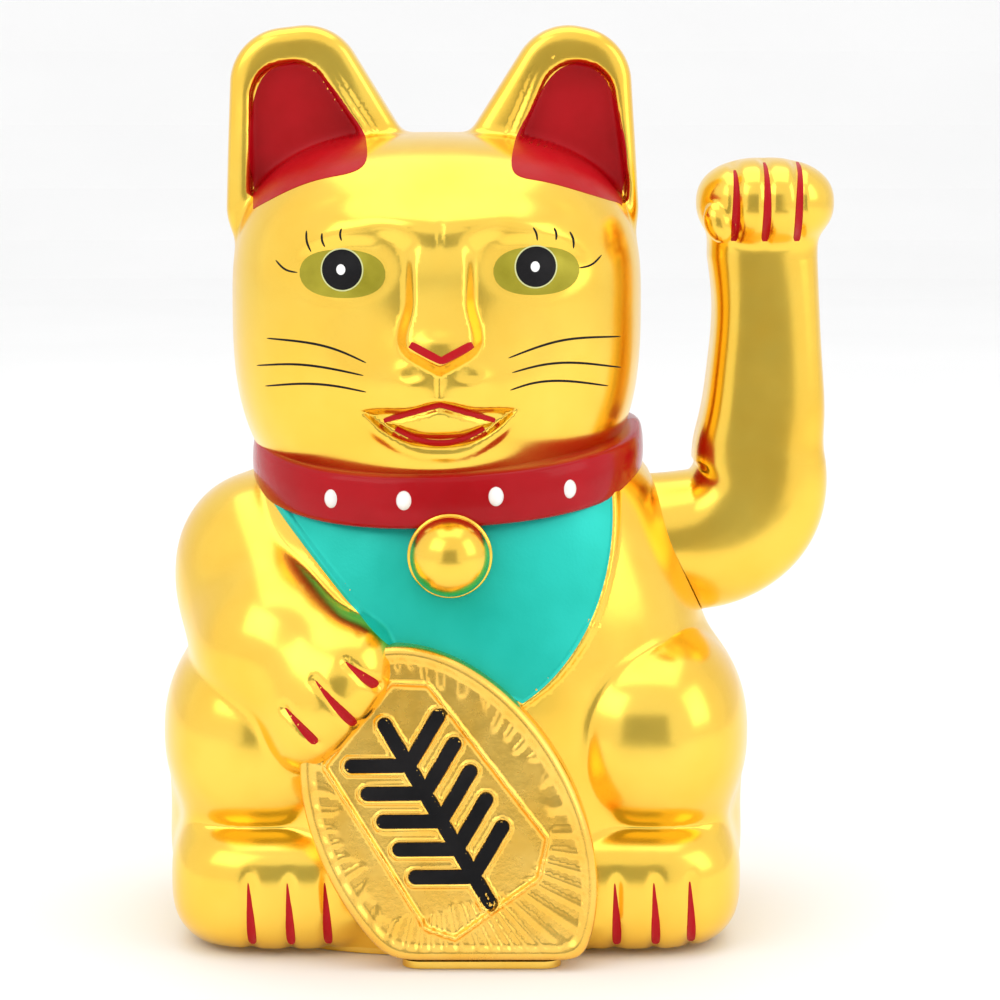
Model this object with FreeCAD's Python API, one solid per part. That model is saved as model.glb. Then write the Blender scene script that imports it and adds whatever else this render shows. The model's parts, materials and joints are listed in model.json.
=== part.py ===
import FreeCAD
import Part

# Beckoning cat figurine, sitting, with a battery driven waving arm. Sizes are in millimetres.
# The origin is the centre of the base plate's underside. The cat looks along -Y, its raised left arm is at +X.
# The gold shell is two halves that meet at a seam behind the ears. Inside, a pendulum with a magnet swings
# over a coil. The raised arm plugs into the pendulum's hub, so both turn together about one axis along X.

import math
import os

from FreeCAD import Base, Vector

PARTS_FOLDER = "parts"

# Shell
WALL = 1.8
SEAM_Y = 1.0
SHELL_BOTTOM = 1.5
CAVITY_BOTTOM = -3.0
SECTION_POWER = 2.4
SECTION_POINTS = 28

# Head and ears
HEAD_X = -4.3
EAR_TOP = 200.0
EAR_FRONT_Y = -7.0
EAR_BACK_Y = 8.0
EAR_RECESS = 3.5
EAR_RIM = 4.5

# Swing axis, through the shoulder opening
AXIS_Y = 0.0
AXIS_Z = 85.0
SHOULDER_HOLE_R = 16.3
SHOULDER_HOLE_X = 41.0

# Raised arm
ARM_WALL = 1.6
ARM_SEAM_Y = 0.6
ARM_INNER_X = 41.5
STUB_END_X = 66.0
STUB_RADII = (14.0, 15.0)
ELBOW_CENTRE = Vector(67.0, 0.0, 88.0)
ELBOW_RADII = (15.0, 15.0, 17.0)
PAW_CENTRE = Vector(68.2, -2.5, 160.4)
PAW_RADII = (14.8, 12.5, 10.0)

# Base plate
BASE_FLANGE = 1.5
BASE_TOP = 3.0
BASE_HALF_WIDTH = 48.5
BASE_FRONT = 41.5
BASE_BACK = 39.5
SCREW_X = 36.0
SCREW_Y = 24.0
SCREW_HEAD_R = 2.6
SCREW_SHANK_R = 1.3
SCREW_HEAD = (0.2, 1.7)
SCREW_TIP_Z = 14.0
FRAME_SCREW_HEAD_R = 1.9
FRAME_SCREW_SHANK_R = 0.9
TONGUE_X = (-11.5, 22.5)
TONGUE_FRONT_Y = -52.0
TONGUE_CORNER_R = 4.0
STEP_INSET = 2.2
BOSS_R = 3.5
BOSS_TOP = 18.0

# Battery: one AA cell lying along Y
CELL_X = -22.0
CELL_R = 7.1
CELL_LENGTH = 50.0
CELL_Z = 11.4
TRAY_HALF_WIDTH = 9.0
TRAY_HALF_LENGTH = 30.5
TRAY_TOP = 20.8
TRAY_WALL = 1.4
CONTACT_THICKNESS = 0.4

# Battery door
DOOR_HALF_WIDTH = 10.0
DOOR_HALF_LENGTH = 30.0
DOOR_THICKNESS = 1.6
DOOR_AXIS_Z = 1.1
DOOR_GAP = 0.25
DOOR_AXIS_Y = DOOR_HALF_LENGTH - 0.5 * DOOR_THICKNESS
DOOR_PIN_R = 0.7
DOOR_PIN_LENGTH = 1.6
DOOR_RECESS = 2.1

# Slide switch
SWITCH_X = -2.0
SWITCH_Y = 22.0
SWITCH_TRAVEL = 2.0

# Movement
UPRIGHT_INNER = (11.0, 14.0)
UPRIGHT_OUTER = (34.0, 37.5)
FRAME_FOOT = (5.5, 8.0)
FRAME_TOP = 93.0
FRAME_SCREW_X = (13.0, 35.5)
FRAME_SCREW_Y = (-15.0, 15.0)
PENDULUM_X = 24.0
HUB_R = 8.0
HUB_X = (17.0, 31.0)
JOURNAL_R = 5.0
JOURNAL_CLEARANCE = 0.06
JOURNAL_END_X = 39.5
PIN_R = 1.5
PIN_CLEARANCE = 0.05
PEG_HALF = 3.0
PEG_GAP = 0.1
MAGNET_R = 7.5
MAGNET_Z = (18.9, 23.0)
WEIGHT_Z = (23.0, 35.0)
HOLDER_R = 8.8
HOLDER_Z = (20.6, 38.0)
COIL_R = 9.5
COIL_TOP = 17.0
BOARD_X = (11.0, 29.0)
BOARD_Y = (17.5, 30.0)
BOARD_Z = (FRAME_FOOT[1], FRAME_FOOT[1] + 1.2)
LEAD_R = 0.6
LEG_R = 0.25
TRANSISTOR_AT = (15.0, 24.0)
CAPACITOR_AT = (21.0, 24.0)
RESISTOR_AT = (26.5, 23.1)

# Collar and bell
COLLAR_X = -1.8
COLLAR_HALF_WIDTH = 42.6
COLLAR_FRONT = 42.5
COLLAR_BACK = 40.0
COLLAR_HEIGHT = 11.5
COLLAR_Z = 102.6
COLLAR_TILT = 6.5
COLLAR_BAND = 8.0
STUD_R = 1.5
STUD_PROUD = 0.5
STUD_X = (-26.5, -11.0, 8.4, 24.0)
BELL_LIP_R = 0.5
BELL_CENTRE = Vector(-1.3, -45.0, 87.7)
BELL_R = 8.4

# Coin plaque, an oval that leans on the belly
PLAQUE_CENTRE_X = -4.0
PLAQUE_CENTRE_Z = 31.0
PLAQUE_LONG = 45.0
PLAQUE_SHORT = 26.5
PLAQUE_TURN = 30.0
PLAQUE_FRONT_Y = -54.0
PLAQUE_LEAN = 5.5
PLAQUE_DEPTH = 14.0
PLAQUE_BORDER = 6.5
PLAQUE_RECESS = 1.2
PLAQUE_FLAT_END = 38.0

# Height, centre in X, half width, front reach and back reach of the figure's own outline.
SECTIONS = [
    (1.5, 0.0, 49.5, 41.0, 40.5),
    (4.0, 0.0, 54.5, 44.0, 43.5),
    (9.0, 0.0, 58.5, 46.0, 46.0),
    (18.0, 0.0, 61.5, 47.0, 48.0),
    (29.0, 0.0, 63.8, 46.5, 49.0),
    (40.0, 0.0, 65.0, 46.0, 49.5),
    (51.0, 0.0, 63.0, 45.5, 48.5),
    (61.0, 0.0, 58.5, 44.5, 47.0),
    (71.0, -0.5, 54.5, 43.5, 45.0),
    (81.0, -1.0, 51.0, 42.0, 43.0),
    (90.0, -1.0, 48.5, 40.5, 40.5),
    (96.0, -1.3, 45.5, 38.5, 38.5),
    (101.0, -1.8, 40.0, 35.5, 35.5),
    (106.0, -3.0, 37.0, 33.5, 33.0),
    (111.0, -4.0, 40.0, 37.0, 34.0),
    (118.0, -4.3, 43.6, 41.5, 36.5),
    (128.0, -4.3, 45.3, 43.5, 38.2),
    (140.0, -4.3, 45.6, 43.0, 38.5),
    (152.0, -4.3, 45.0, 40.0, 37.0),
    (162.0, -4.3, 42.5, 34.5, 33.0),
    (169.5, -4.3, 37.0, 26.0, 26.0),
    (174.2, -4.3, 27.0, 15.0, 16.0),
    (176.2, -4.3, 14.0, 6.5, 7.0),
]

# Upright part of the raised arm: height, centre in X, and radius.
FOREARM_SECTIONS = [
    (88.0, 67.5, 14.2),
    (104.0, 69.4, 14.0),
    (120.0, 69.5, 13.3),
    (140.0, 69.3, 12.3),
    (152.0, 69.2, 12.0),
    (158.0, 69.1, 11.0),
]

# Half outline of an ear: distance from the head's middle, and height.
EAR_OUTLINE = [
    (46.3, 157.0),
    (46.8, 172.0),
    (45.5, 186.0),
    (40.0, 195.6),
    (31.0, EAR_TOP),
    (22.0, 196.8),
    (13.2, 187.8),
    (5.6, 176.0),
    (9.0, 160.0),
]
EAR_MIDDLE = (31.0, 176.0)


# Leads: battery to switch, switch to board, and battery to board. Each end stands on its terminal.
LEAD_ROUTES = {
    "lead_red": [
        (CELL_X, 32.3, 15.25),
        (CELL_X, 36.0, 15.25),
        (-12.0, 37.5, 16.0),
        (-2.5, 33.0, 16.6),
        (0.5, 25.5, 16.2),
        (0.5, SWITCH_Y, 13.5),
        (0.5, SWITCH_Y, 10.0),
    ],
    "lead_switch": [
        (SWITCH_X, SWITCH_Y, 10.0),
        (SWITCH_X, SWITCH_Y, 13.0),
        (2.5, 26.5, 13.8),
        (8.5, 29.0, 13.6),
        (13.0, 28.5, 12.0),
        (13.0, 28.5, BOARD_Z[1]),
    ],
    "lead_black": [
        (CELL_X, -32.3, 15.25),
        (CELL_X, -36.0, 15.25),
        (-12.0, -36.5, 14.0),
        (-5.0, -29.0, 12.0),
        (-6.5, -14.0, 10.0),
        (-5.0, 1.0, 9.6),
        (0.0, 12.0, 12.0),
        (6.5, 20.5, 17.0),
        (12.5, 26.5, 17.4),
        (16.0, 28.5, 14.0),
        (16.0, 28.5, BOARD_Z[1]),
    ],
}


def signed_power(value, exponent):
    return math.copysign(abs(value) ** exponent, value)


def outline_wire(z, centre_x, half_width, front, back, inset=0.0):
    """A closed curve at height z, flatter than an ellipse, with its own reach to front and back."""
    points = []
    for index in range(SECTION_POINTS):
        angle = 2.0 * math.pi * index / SECTION_POINTS
        reach = back if math.sin(angle) > 0 else front
        x = centre_x + (half_width - inset) * signed_power(math.cos(angle), 2.0 / SECTION_POWER)
        y = (reach - inset) * signed_power(math.sin(angle), 2.0 / SECTION_POWER)
        points.append(Vector(x, y, z))
    curve = Part.BSplineCurve()
    curve.interpolate(Points=points, PeriodicFlag=True)
    return Part.Wire(curve.toShape())


def box(x, y, z):
    """A box from three (low, high) pairs."""
    shape = Part.makeBox(x[1] - x[0], y[1] - y[0], z[1] - z[0])
    shape.translate(Vector(x[0], y[0], z[0]))
    return shape


def cylinder(radius, start, end):
    start, end = Vector(*start), Vector(*end)
    return Part.makeCylinder(radius, (end - start).Length, start, end - start)


def ring(outer, inner, start, end):
    return cylinder(outer, start, end).cut(cylinder(inner, start, end))


def ellipsoid(centre, radii, turn_axis=Vector(0, 0, 1), turn=0.0):
    matrix = Base.Matrix()
    matrix.scale(Vector(*radii))
    shape = Part.makeSphere(1.0).transformGeometry(matrix)
    shape.rotate(Vector(0, 0, 0), turn_axis, turn)
    shape.translate(centre)
    return shape


def fused(shapes):
    first, rest = shapes[0], list(shapes[1:])
    return first.fuse(rest).removeSplitter() if rest else first


def cut_in_turn(shape, tools):
    """Cut by one tool after another, which is surer than one cut by their union on lofted faces."""
    for tool in tools:
        shape = shape.cut(tool)
    return shape


def figure_body(inset=0.0):
    """Torso and head as one loft."""
    low = SHELL_BOTTOM if inset == 0.0 else CAVITY_BOTTOM
    wires = []
    for index, (z, centre_x, half_width, front, back) in enumerate(SECTIONS):
        height = z
        if index == 0:
            height = low
        if index == len(SECTIONS) - 1:
            height = z - inset
        if index == len(SECTIONS) - 2:
            height = z - 0.8 * inset
        wires.append(outline_wire(height, centre_x, half_width, front, back, inset))
    return Part.makeLoft(wires, True, False)


def ear_face_wire(side, inset, y):
    """The ear's outline in a plane across the cat, drawn in by inset towards the ear's middle."""
    points = []
    for reach, z in EAR_OUTLINE:
        away = math.hypot(reach - EAR_MIDDLE[0], z - EAR_MIDDLE[1])
        share = 1.0 - inset / away
        x = EAR_MIDDLE[0] + (reach - EAR_MIDDLE[0]) * share
        points.append(Vector(HEAD_X + side * x, y, EAR_MIDDLE[1] + (z - EAR_MIDDLE[1]) * share))
    curve = Part.BSplineCurve()
    curve.interpolate(Points=points, PeriodicFlag=True)
    return Part.Wire(curve.toShape())


def ear_block(side, inset, front_y, back_y):
    face = Part.Face(ear_face_wire(side, inset, front_y))
    return face.extrude(Vector(0, back_y - front_y, 0))


def holding_arm(inset=0.0):
    """Shoulder, forearm and paw of the cat's right arm, which holds the plaque."""
    shoulder = ellipsoid(Vector(-44.0, -5.0, 77.0), [r - inset for r in (18.8, 22.0, 20.5)])
    forearm = ellipsoid(
        Vector(-41.0, -30.0, 66.0), [r - inset for r in (22.0, 13.5, 14.0)], Vector(0, 0, 1), -28.0
    )
    paw = ellipsoid(Vector(-26.5, -42.0, 57.0), [r - inset for r in (13.0, 9.5, 12.0)])
    return [shoulder, forearm, paw]


def shell_halves():
    """Front and rear half of the gold shell, with their screw bosses, split at the seam."""
    ears = [ear_block(side, 0.0, EAR_FRONT_Y, EAR_BACK_Y) for side in (-1, 1)]
    outer = fused([figure_body()] + holding_arm() + ears)
    cavity_front = EAR_FRONT_Y + EAR_RECESS + WALL
    hollows = [figure_body(WALL)] + holding_arm(WALL)
    hollows += [ear_block(side, WALL, cavity_front, EAR_BACK_Y - WALL) for side in (-1, 1)]
    head = figure_body()
    for side in (-1, 1):
        recess = ear_block(side, EAR_RIM, EAR_FRONT_Y - 1.0, EAR_FRONT_Y + EAR_RECESS)
        hollows.append(recess.cut(head))
    hollows.append(
        cylinder(SHOULDER_HOLE_R, (SHOULDER_HOLE_X, AXIS_Y, AXIS_Z), (90.0, AXIS_Y, AXIS_Z))
    )
    shell = cut_in_turn(outer, hollows)

    bosses = []
    pilots = []
    for x in (-SCREW_X, SCREW_X):
        for y in (-SCREW_Y, SCREW_Y):
            side = math.copysign(1.0, x)
            rib = box(sorted((x, x + side * 30.0)), (y - 0.8, y + 0.8), (BASE_TOP, BOSS_TOP - 2.0))
            boss = cylinder(BOSS_R, (x, y, BASE_TOP), (x, y, BOSS_TOP)).fuse(rib).common(outer)
            bosses.append(boss)
            pilots.append(cylinder(SCREW_SHANK_R, (x, y, 0.0), (x, y, BOSS_TOP - 2.0)))
    shell = cut_in_turn(shell.fuse(bosses), pilots)

    front = shell.common(box((-90, 90), (-90, SEAM_Y), (0, 220)))
    rear = shell.common(box((-90, 90), (SEAM_Y, 90), (0, 220)))
    return outer, front, rear


def base_outline(inset):
    return outline_wire(0.0, 0.0, BASE_HALF_WIDTH, BASE_FRONT, BASE_BACK, inset)


def base_plate():
    """Flange under the shell, a step that fits inside it, the tongue under the plaque, and the openings."""
    flange = Part.Face(base_outline(0.0)).extrude(Vector(0, 0, BASE_FLANGE))
    step = Part.Face(base_outline(STEP_INSET)).extrude(Vector(0, 0, BASE_TOP))
    tongue = box(TONGUE_X, (TONGUE_FRONT_Y, -30.0), (0.0, BASE_FLANGE))
    upright = [edge for edge in tongue.Edges if edge.BoundBox.ZLength > 1.0]
    corners = [edge for edge in upright if edge.BoundBox.YMin < TONGUE_FRONT_Y + 1.0]
    tongue = tongue.makeFillet(TONGUE_CORNER_R, corners)
    posts = [
        cylinder(3.0, (x, y, 0.5), (x, y, FRAME_FOOT[0])) for x in FRAME_SCREW_X for y in FRAME_SCREW_Y
    ]
    plate = fused([flange, step, tongue] + posts)

    door_x = (CELL_X - DOOR_HALF_WIDTH - DOOR_GAP, CELL_X + DOOR_HALF_WIDTH + DOOR_GAP)
    door_y = (-DOOR_HALF_LENGTH - DOOR_GAP, DOOR_HALF_LENGTH + DOOR_GAP)
    recess = box(door_x, door_y, (-1.0, DOOR_RECESS))
    opening = box(
        (CELL_X - TRAY_HALF_WIDTH + TRAY_WALL, CELL_X + TRAY_HALF_WIDTH - TRAY_WALL),
        (-TRAY_HALF_LENGTH + 2.0, TRAY_HALF_LENGTH - 2.0),
        (-1.0, BASE_TOP + 1.0),
    )
    finger = cylinder(6.0, (CELL_X, door_y[0], -1.0), (CELL_X, door_y[0], 0.9))
    hinge_hole = cylinder(
        DOOR_PIN_R + 0.08,
        (door_x[0] - DOOR_PIN_LENGTH - 0.2, DOOR_AXIS_Y, DOOR_AXIS_Z),
        (door_x[1] + DOOR_PIN_LENGTH + 0.2, DOOR_AXIS_Y, DOOR_AXIS_Z),
    )
    slot = box(
        (SWITCH_X - 2.6, SWITCH_X + 2.6), (SWITCH_Y - 1.4, SWITCH_Y + 1.4), (-1.0, BASE_TOP + 1.0)
    )
    thumb = box((SWITCH_X - 6.0, SWITCH_X + 6.0), (SWITCH_Y - 3.5, SWITCH_Y + 3.5), (-1.0, 1.2))
    cuts = [recess, opening, finger, hinge_hole, slot, thumb]
    for x in (-SCREW_X, SCREW_X):
        for y in (-SCREW_Y, SCREW_Y):
            cuts.append(cylinder(1.5, (x, y, -1.0), (x, y, 4.0)))
            cuts.append(cylinder(SCREW_HEAD_R + 0.3, (x, y, -1.0), (x, y, 1.7)))
    for x in FRAME_SCREW_X:
        for y in FRAME_SCREW_Y:
            cuts.append(cylinder(0.9, (x, y, 1.2), (x, y, 8.0)))
    return plate.cut(cuts)


def pan_screw(x, y, head_low, head_high, head_r, shank_r, tip_z):
    """A pan head screw with a cross recess. The shank runs from the head's far face to tip_z."""
    up = 1.0 if tip_z > head_high else -1.0
    face = head_low if up > 0 else head_high
    seat = head_high if up > 0 else head_low
    head = cylinder(head_r, (x, y, head_low), (x, y, head_high))
    shank = cylinder(shank_r, (x, y, seat), (x, y, tip_z))
    depth = (face - 0.1, face + 0.8) if up > 0 else (face - 0.8, face + 0.1)
    arm = 0.6 * head_r
    cross = [
        box((x - arm, x + arm), (y - 0.3, y + 0.3), depth),
        box((x - 0.3, x + 0.3), (y - arm, y + arm), depth),
    ]
    return head.fuse(shank).cut(cross)


def base_screws():
    return [
        pan_screw(x, y, *SCREW_HEAD, SCREW_HEAD_R, SCREW_SHANK_R, SCREW_TIP_Z)
        for x in (-SCREW_X, SCREW_X)
        for y in (-SCREW_Y, SCREW_Y)
    ]


def movement_screws():
    return [
        pan_screw(x, y, FRAME_FOOT[1], FRAME_FOOT[1] + 1.3, FRAME_SCREW_HEAD_R, FRAME_SCREW_SHANK_R, 2.0)
        for x in FRAME_SCREW_X
        for y in FRAME_SCREW_Y
    ]


def battery_door():
    """A flap that turns about its rear edge on two moulded pins. A tab at its front edge locates it."""
    low = DOOR_AXIS_Z - 0.5 * DOOR_THICKNESS
    high = DOOR_AXIS_Z + 0.5 * DOOR_THICKNESS
    x = (CELL_X - DOOR_HALF_WIDTH, CELL_X + DOOR_HALF_WIDTH)
    plate = box(x, (-DOOR_HALF_LENGTH, DOOR_AXIS_Y), (low, high))
    edge = cylinder(
        0.5 * DOOR_THICKNESS, (x[0], DOOR_AXIS_Y, DOOR_AXIS_Z), (x[1], DOOR_AXIS_Y, DOOR_AXIS_Z)
    )
    pins = cylinder(
        DOOR_PIN_R,
        (x[0] - DOOR_PIN_LENGTH, DOOR_AXIS_Y, DOOR_AXIS_Z),
        (x[1] + DOOR_PIN_LENGTH, DOOR_AXIS_Y, DOOR_AXIS_Z),
    )
    tab = box((CELL_X - 4.0, CELL_X + 4.0), (-28.0, -26.8), (high - 0.2, 3.6))
    door = fused([plate, edge, pins, tab])
    grips = [
        box((CELL_X - 4.0, CELL_X + 4.0), (-27.0 + 2.0 * n, -26.0 + 2.0 * n), (low - 0.1, low + 0.4))
        for n in range(5)
    ]
    return door.cut(grips)


def battery_tray():
    x = (CELL_X - TRAY_HALF_WIDTH, CELL_X + TRAY_HALF_WIDTH)
    y = (-TRAY_HALF_LENGTH, TRAY_HALF_LENGTH)
    block = box(x, y, (BASE_TOP, TRAY_TOP))
    block = block.makeFillet(2.0, [e for e in block.Edges if e.BoundBox.ZLength > 10.0])
    inside = box(
        (x[0] + TRAY_WALL, x[1] - TRAY_WALL),
        (y[0] + TRAY_WALL, y[1] - TRAY_WALL),
        (0.0, TRAY_TOP - TRAY_WALL),
    )
    notch = box((CELL_X - 2.0, CELL_X + 2.0), (y[0] - 1.0, y[0] + 4.0), (14.0, 18.0))
    rear_notch = box((CELL_X - 2.0, CELL_X + 2.0), (y[1] - 4.0, y[1] + 1.0), (14.0, 18.0))
    return block.cut([inside, notch, rear_notch])


def battery_cell():
    """An AA cell: can, and the raised cap at its front end."""
    half = 0.5 * CELL_LENGTH
    can = cylinder(CELL_R, (CELL_X, -half + 1.2, CELL_Z), (CELL_X, half, CELL_Z))
    can = can.makeFillet(0.6, can.Edges)
    cap = cylinder(2.7, (CELL_X, -half, CELL_Z), (CELL_X, -half + 3.0, CELL_Z))
    return can.fuse(cap).removeSplitter()


def contact_spring():
    """A conical wire spring between the cell's flat end and the rear contact tab."""
    wire_r = 0.3
    first_y = 0.5 * CELL_LENGTH + wire_r
    last_y = TRAY_HALF_LENGTH - TRAY_WALL - CONTACT_THICKNESS - wire_r
    sides = 8
    count = 3 * sides
    points = []
    for index in range(count + 1):
        angle = 2.0 * math.pi * index / sides
        radius = 2.6 + 2.4 * index / count
        y = first_y + (last_y - first_y) * index / count
        points.append((CELL_X + radius * math.cos(angle), y, CELL_Z + radius * math.sin(angle)))
    return lead(points, wire_r)


def contact_tab(front):
    """A bent strip at one end of the tray, with a solder tail through the wall's notch."""
    wall = TRAY_HALF_LENGTH - TRAY_WALL
    inner = wall - CONTACT_THICKNESS
    side = -1.0 if front else 1.0
    plate = box((CELL_X - 5.0, CELL_X + 5.0), sorted((side * inner, side * wall)), (5.0, 18.4))
    tail = box((CELL_X - 1.2, CELL_X + 1.2), sorted((side * wall, side * (wall + 3.2))), (15.0, 15.5))
    shapes = [plate, tail]
    if front:
        reach = 0.5 * CELL_LENGTH
        shapes.append(cylinder(2.2, (CELL_X, -inner, CELL_Z), (CELL_X, -reach, CELL_Z)))
    return fused(shapes)


def movement_frame():
    """Foot, two uprights with the bearings, and the posts' holes."""
    foot = box((10.0, 39.0), (-17.0, 17.0), FRAME_FOOT)
    shelf = box((10.0, 30.0), (16.0, 31.0), FRAME_FOOT)
    uprights = []
    for low, high in (UPRIGHT_INNER, UPRIGHT_OUTER):
        profile = Part.makePolygon(
            [
                Vector(low, -13.0, FRAME_FOOT[0]),
                Vector(low, 13.0, FRAME_FOOT[0]),
                Vector(low, 8.0, FRAME_TOP - 4.0),
                Vector(low, 4.0, FRAME_TOP),
                Vector(low, -4.0, FRAME_TOP),
                Vector(low, -8.0, FRAME_TOP - 4.0),
                Vector(low, -13.0, FRAME_FOOT[0]),
            ]
        )
        upright = Part.Face(profile).extrude(Vector(high - low, 0, 0))
        window = box((low - 1.0, high + 1.0), (-6.0, 6.0), (24.0, 66.0))
        uprights.append(upright.cut(window))
    gussets = [
        box((UPRIGHT_INNER[0], UPRIGHT_OUTER[1]), (side - 1.0, side + 1.0), (FRAME_FOOT[1], 12.0))
        for side in (-14.5, 14.5)
    ]
    spool_boss = ring(3.0, 1.5, (PENDULUM_X, 0.0, FRAME_FOOT[0]), (PENDULUM_X, 0.0, 13.0))
    frame = fused([foot, shelf] + uprights + gussets + [spool_boss])
    cuts = [
        cylinder(
            PIN_R + PIN_CLEARANCE,
            (UPRIGHT_INNER[0] - 1, AXIS_Y, AXIS_Z),
            (UPRIGHT_INNER[1] + 1, AXIS_Y, AXIS_Z),
        ),
        cylinder(
            JOURNAL_R + JOURNAL_CLEARANCE,
            (UPRIGHT_OUTER[0] - 1, AXIS_Y, AXIS_Z),
            (UPRIGHT_OUTER[1] + 1, AXIS_Y, AXIS_Z),
        ),
    ]
    for x in FRAME_SCREW_X:
        for y in FRAME_SCREW_Y:
            cuts.append(cylinder(1.1, (x, y, 4.0), (x, y, 9.0)))
            cuts.append(cylinder(2.2, (x, y, FRAME_FOOT[1]), (x, y, 14.0)))
    return frame.cut(cuts)


def coil_bobbin():
    low = FRAME_FOOT[1]
    core = ring(5.0, 3.0, (PENDULUM_X, 0.0, low), (PENDULUM_X, 0.0, COIL_TOP))
    flanges = [
        ring(COIL_R, 3.0, (PENDULUM_X, 0.0, z), (PENDULUM_X, 0.0, z + 0.9)) for z in (low, COIL_TOP - 0.9)
    ]
    return fused([core] + flanges)


def coil_winding():
    return ring(
        COIL_R - 1.0,
        5.0,
        (PENDULUM_X, 0.0, FRAME_FOOT[1] + 0.9),
        (PENDULUM_X, 0.0, COIL_TOP - 0.9),
    )


def circuit_board():
    board = box(BOARD_X, BOARD_Y, BOARD_Z)
    holes = [cylinder(0.5, (x, 28.5, 0.0), (x, 28.5, 20.0)) for x in (13.0, 16.0, 24.0, 27.0)]
    return board.cut(holes)


def transistor():
    """A small can with one flat side, on three legs."""
    foot = BOARD_Z[1] + 1.5
    x, y = TRANSISTOR_AT
    can = cylinder(2.3, (x, y, foot), (x, y, foot + 4.7))
    can = can.cut(box((x - 5.0, x + 5.0), (y + 1.3, y + 6.0), (0.0, 30.0)))
    legs = [cylinder(LEG_R, (x + dx, y, BOARD_Z[1]), (x + dx, y, foot)) for dx in (-1.3, 0.0, 1.3)]
    return fused([can] + legs)


def capacitor():
    x, y = CAPACITOR_AT
    can = cylinder(2.5, (x, y, BOARD_Z[1]), (x, y, BOARD_Z[1] + 6.5))
    return can.makeFillet(0.5, [can.Edges[0]])


def resistor():
    """A round body on two legs of flat strip, bent down to the board."""
    x, y = RESISTOR_AT
    middle = BOARD_Z[1] + 1.1
    half_strip = (x - LEG_R, x + LEG_R)
    body = cylinder(0.9, (x, y - 2.5, middle), (x, y + 2.5, middle))
    strips = [box(half_strip, (y - 3.3, y + 3.3), (middle - LEG_R, middle + LEG_R))]
    for low in (y - 3.3, y + 2.8):
        strips.append(box(half_strip, (low, low + 0.5), (BOARD_Z[1], middle + LEG_R)))
    return fused([body] + strips)


def switch_housing():
    """Metal can over the base plate's slot, open below for the slider."""
    x = (SWITCH_X - 4.6, SWITCH_X + 4.6)
    y = (SWITCH_Y - 2.6, SWITCH_Y + 2.6)
    can = box(x, y, (BASE_TOP, BASE_TOP + 4.2))
    inside = box((x[0] + 0.6, x[1] - 0.6), (y[0] + 0.6, y[1] - 0.6), (0.0, BASE_TOP + 2.2))
    tails = []
    for tail_x in (SWITCH_X - 2.5, SWITCH_X, SWITCH_X + 2.5):
        tail_y = (SWITCH_Y - 0.2, SWITCH_Y + 0.2)
        tails.append(box((tail_x - 0.5, tail_x + 0.5), tail_y, (BASE_TOP + 4.2, BASE_TOP + 7.0)))
    return fused([can.cut(inside)] + tails)


def switch_slider():
    """The knob sits at the end of its slot nearer the battery, which is off."""
    centre = SWITCH_X - 0.5 * SWITCH_TRAVEL
    foot_y = (SWITCH_Y - 1.8, SWITCH_Y + 1.8)
    foot = box((centre - 2.4, centre + 2.4), foot_y, (BASE_TOP + 0.1, BASE_TOP + 2.0))
    knob = box((centre - 1.2, centre + 1.2), (SWITCH_Y - 1.2, SWITCH_Y + 1.2), (0.4, BASE_TOP + 0.5))
    return foot.fuse(knob).removeSplitter()


def arm_pieces(inset):
    """Stub, elbow, forearm and paw. The hollow's stub starts outside the arm, so the end is open."""
    start = ARM_INNER_X - (1.0 if inset > 0.0 else 0.0)
    stub = Part.makeCone(
        STUB_RADII[0] - inset,
        STUB_RADII[1] - inset,
        STUB_END_X - start,
        Vector(start, AXIS_Y, AXIS_Z),
        Vector(1, 0, 0),
    )
    elbow = ellipsoid(ELBOW_CENTRE, [r - inset for r in ELBOW_RADII])
    rings = [
        Part.Wire(Part.makeCircle(radius - inset, Vector(x, AXIS_Y, z), Vector(0, 0, 1)))
        for z, x, radius in FOREARM_SECTIONS
    ]
    forearm = Part.makeLoft(rings, True, False)
    paw = ellipsoid(PAW_CENTRE, [r - inset for r in PAW_RADII])
    return [stub, elbow, forearm, paw]


def arm_halves():
    hollow = cut_in_turn(fused(arm_pieces(0.0)), arm_pieces(ARM_WALL))
    front = hollow.common(box((30, 100), (-60, ARM_SEAM_Y), (40, 200)))
    rear = hollow.common(box((30, 100), (ARM_SEAM_Y, 60), (40, 200)))
    return front, rear


def shoulder_plug():
    """Disc glued into the arm's open end, with the square peg that drives the arm."""
    radius = STUB_RADII[0] - ARM_WALL
    disc = cylinder(radius, (ARM_INNER_X, AXIS_Y, AXIS_Z), (ARM_INNER_X + 3.0, AXIS_Y, AXIS_Z))
    peg = box(
        (HUB_X[1], ARM_INNER_X + 1.0),
        (AXIS_Y - PEG_HALF, AXIS_Y + PEG_HALF),
        (AXIS_Z - PEG_HALF, AXIS_Z + PEG_HALF),
    )
    return disc.fuse(peg).removeSplitter()


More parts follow.
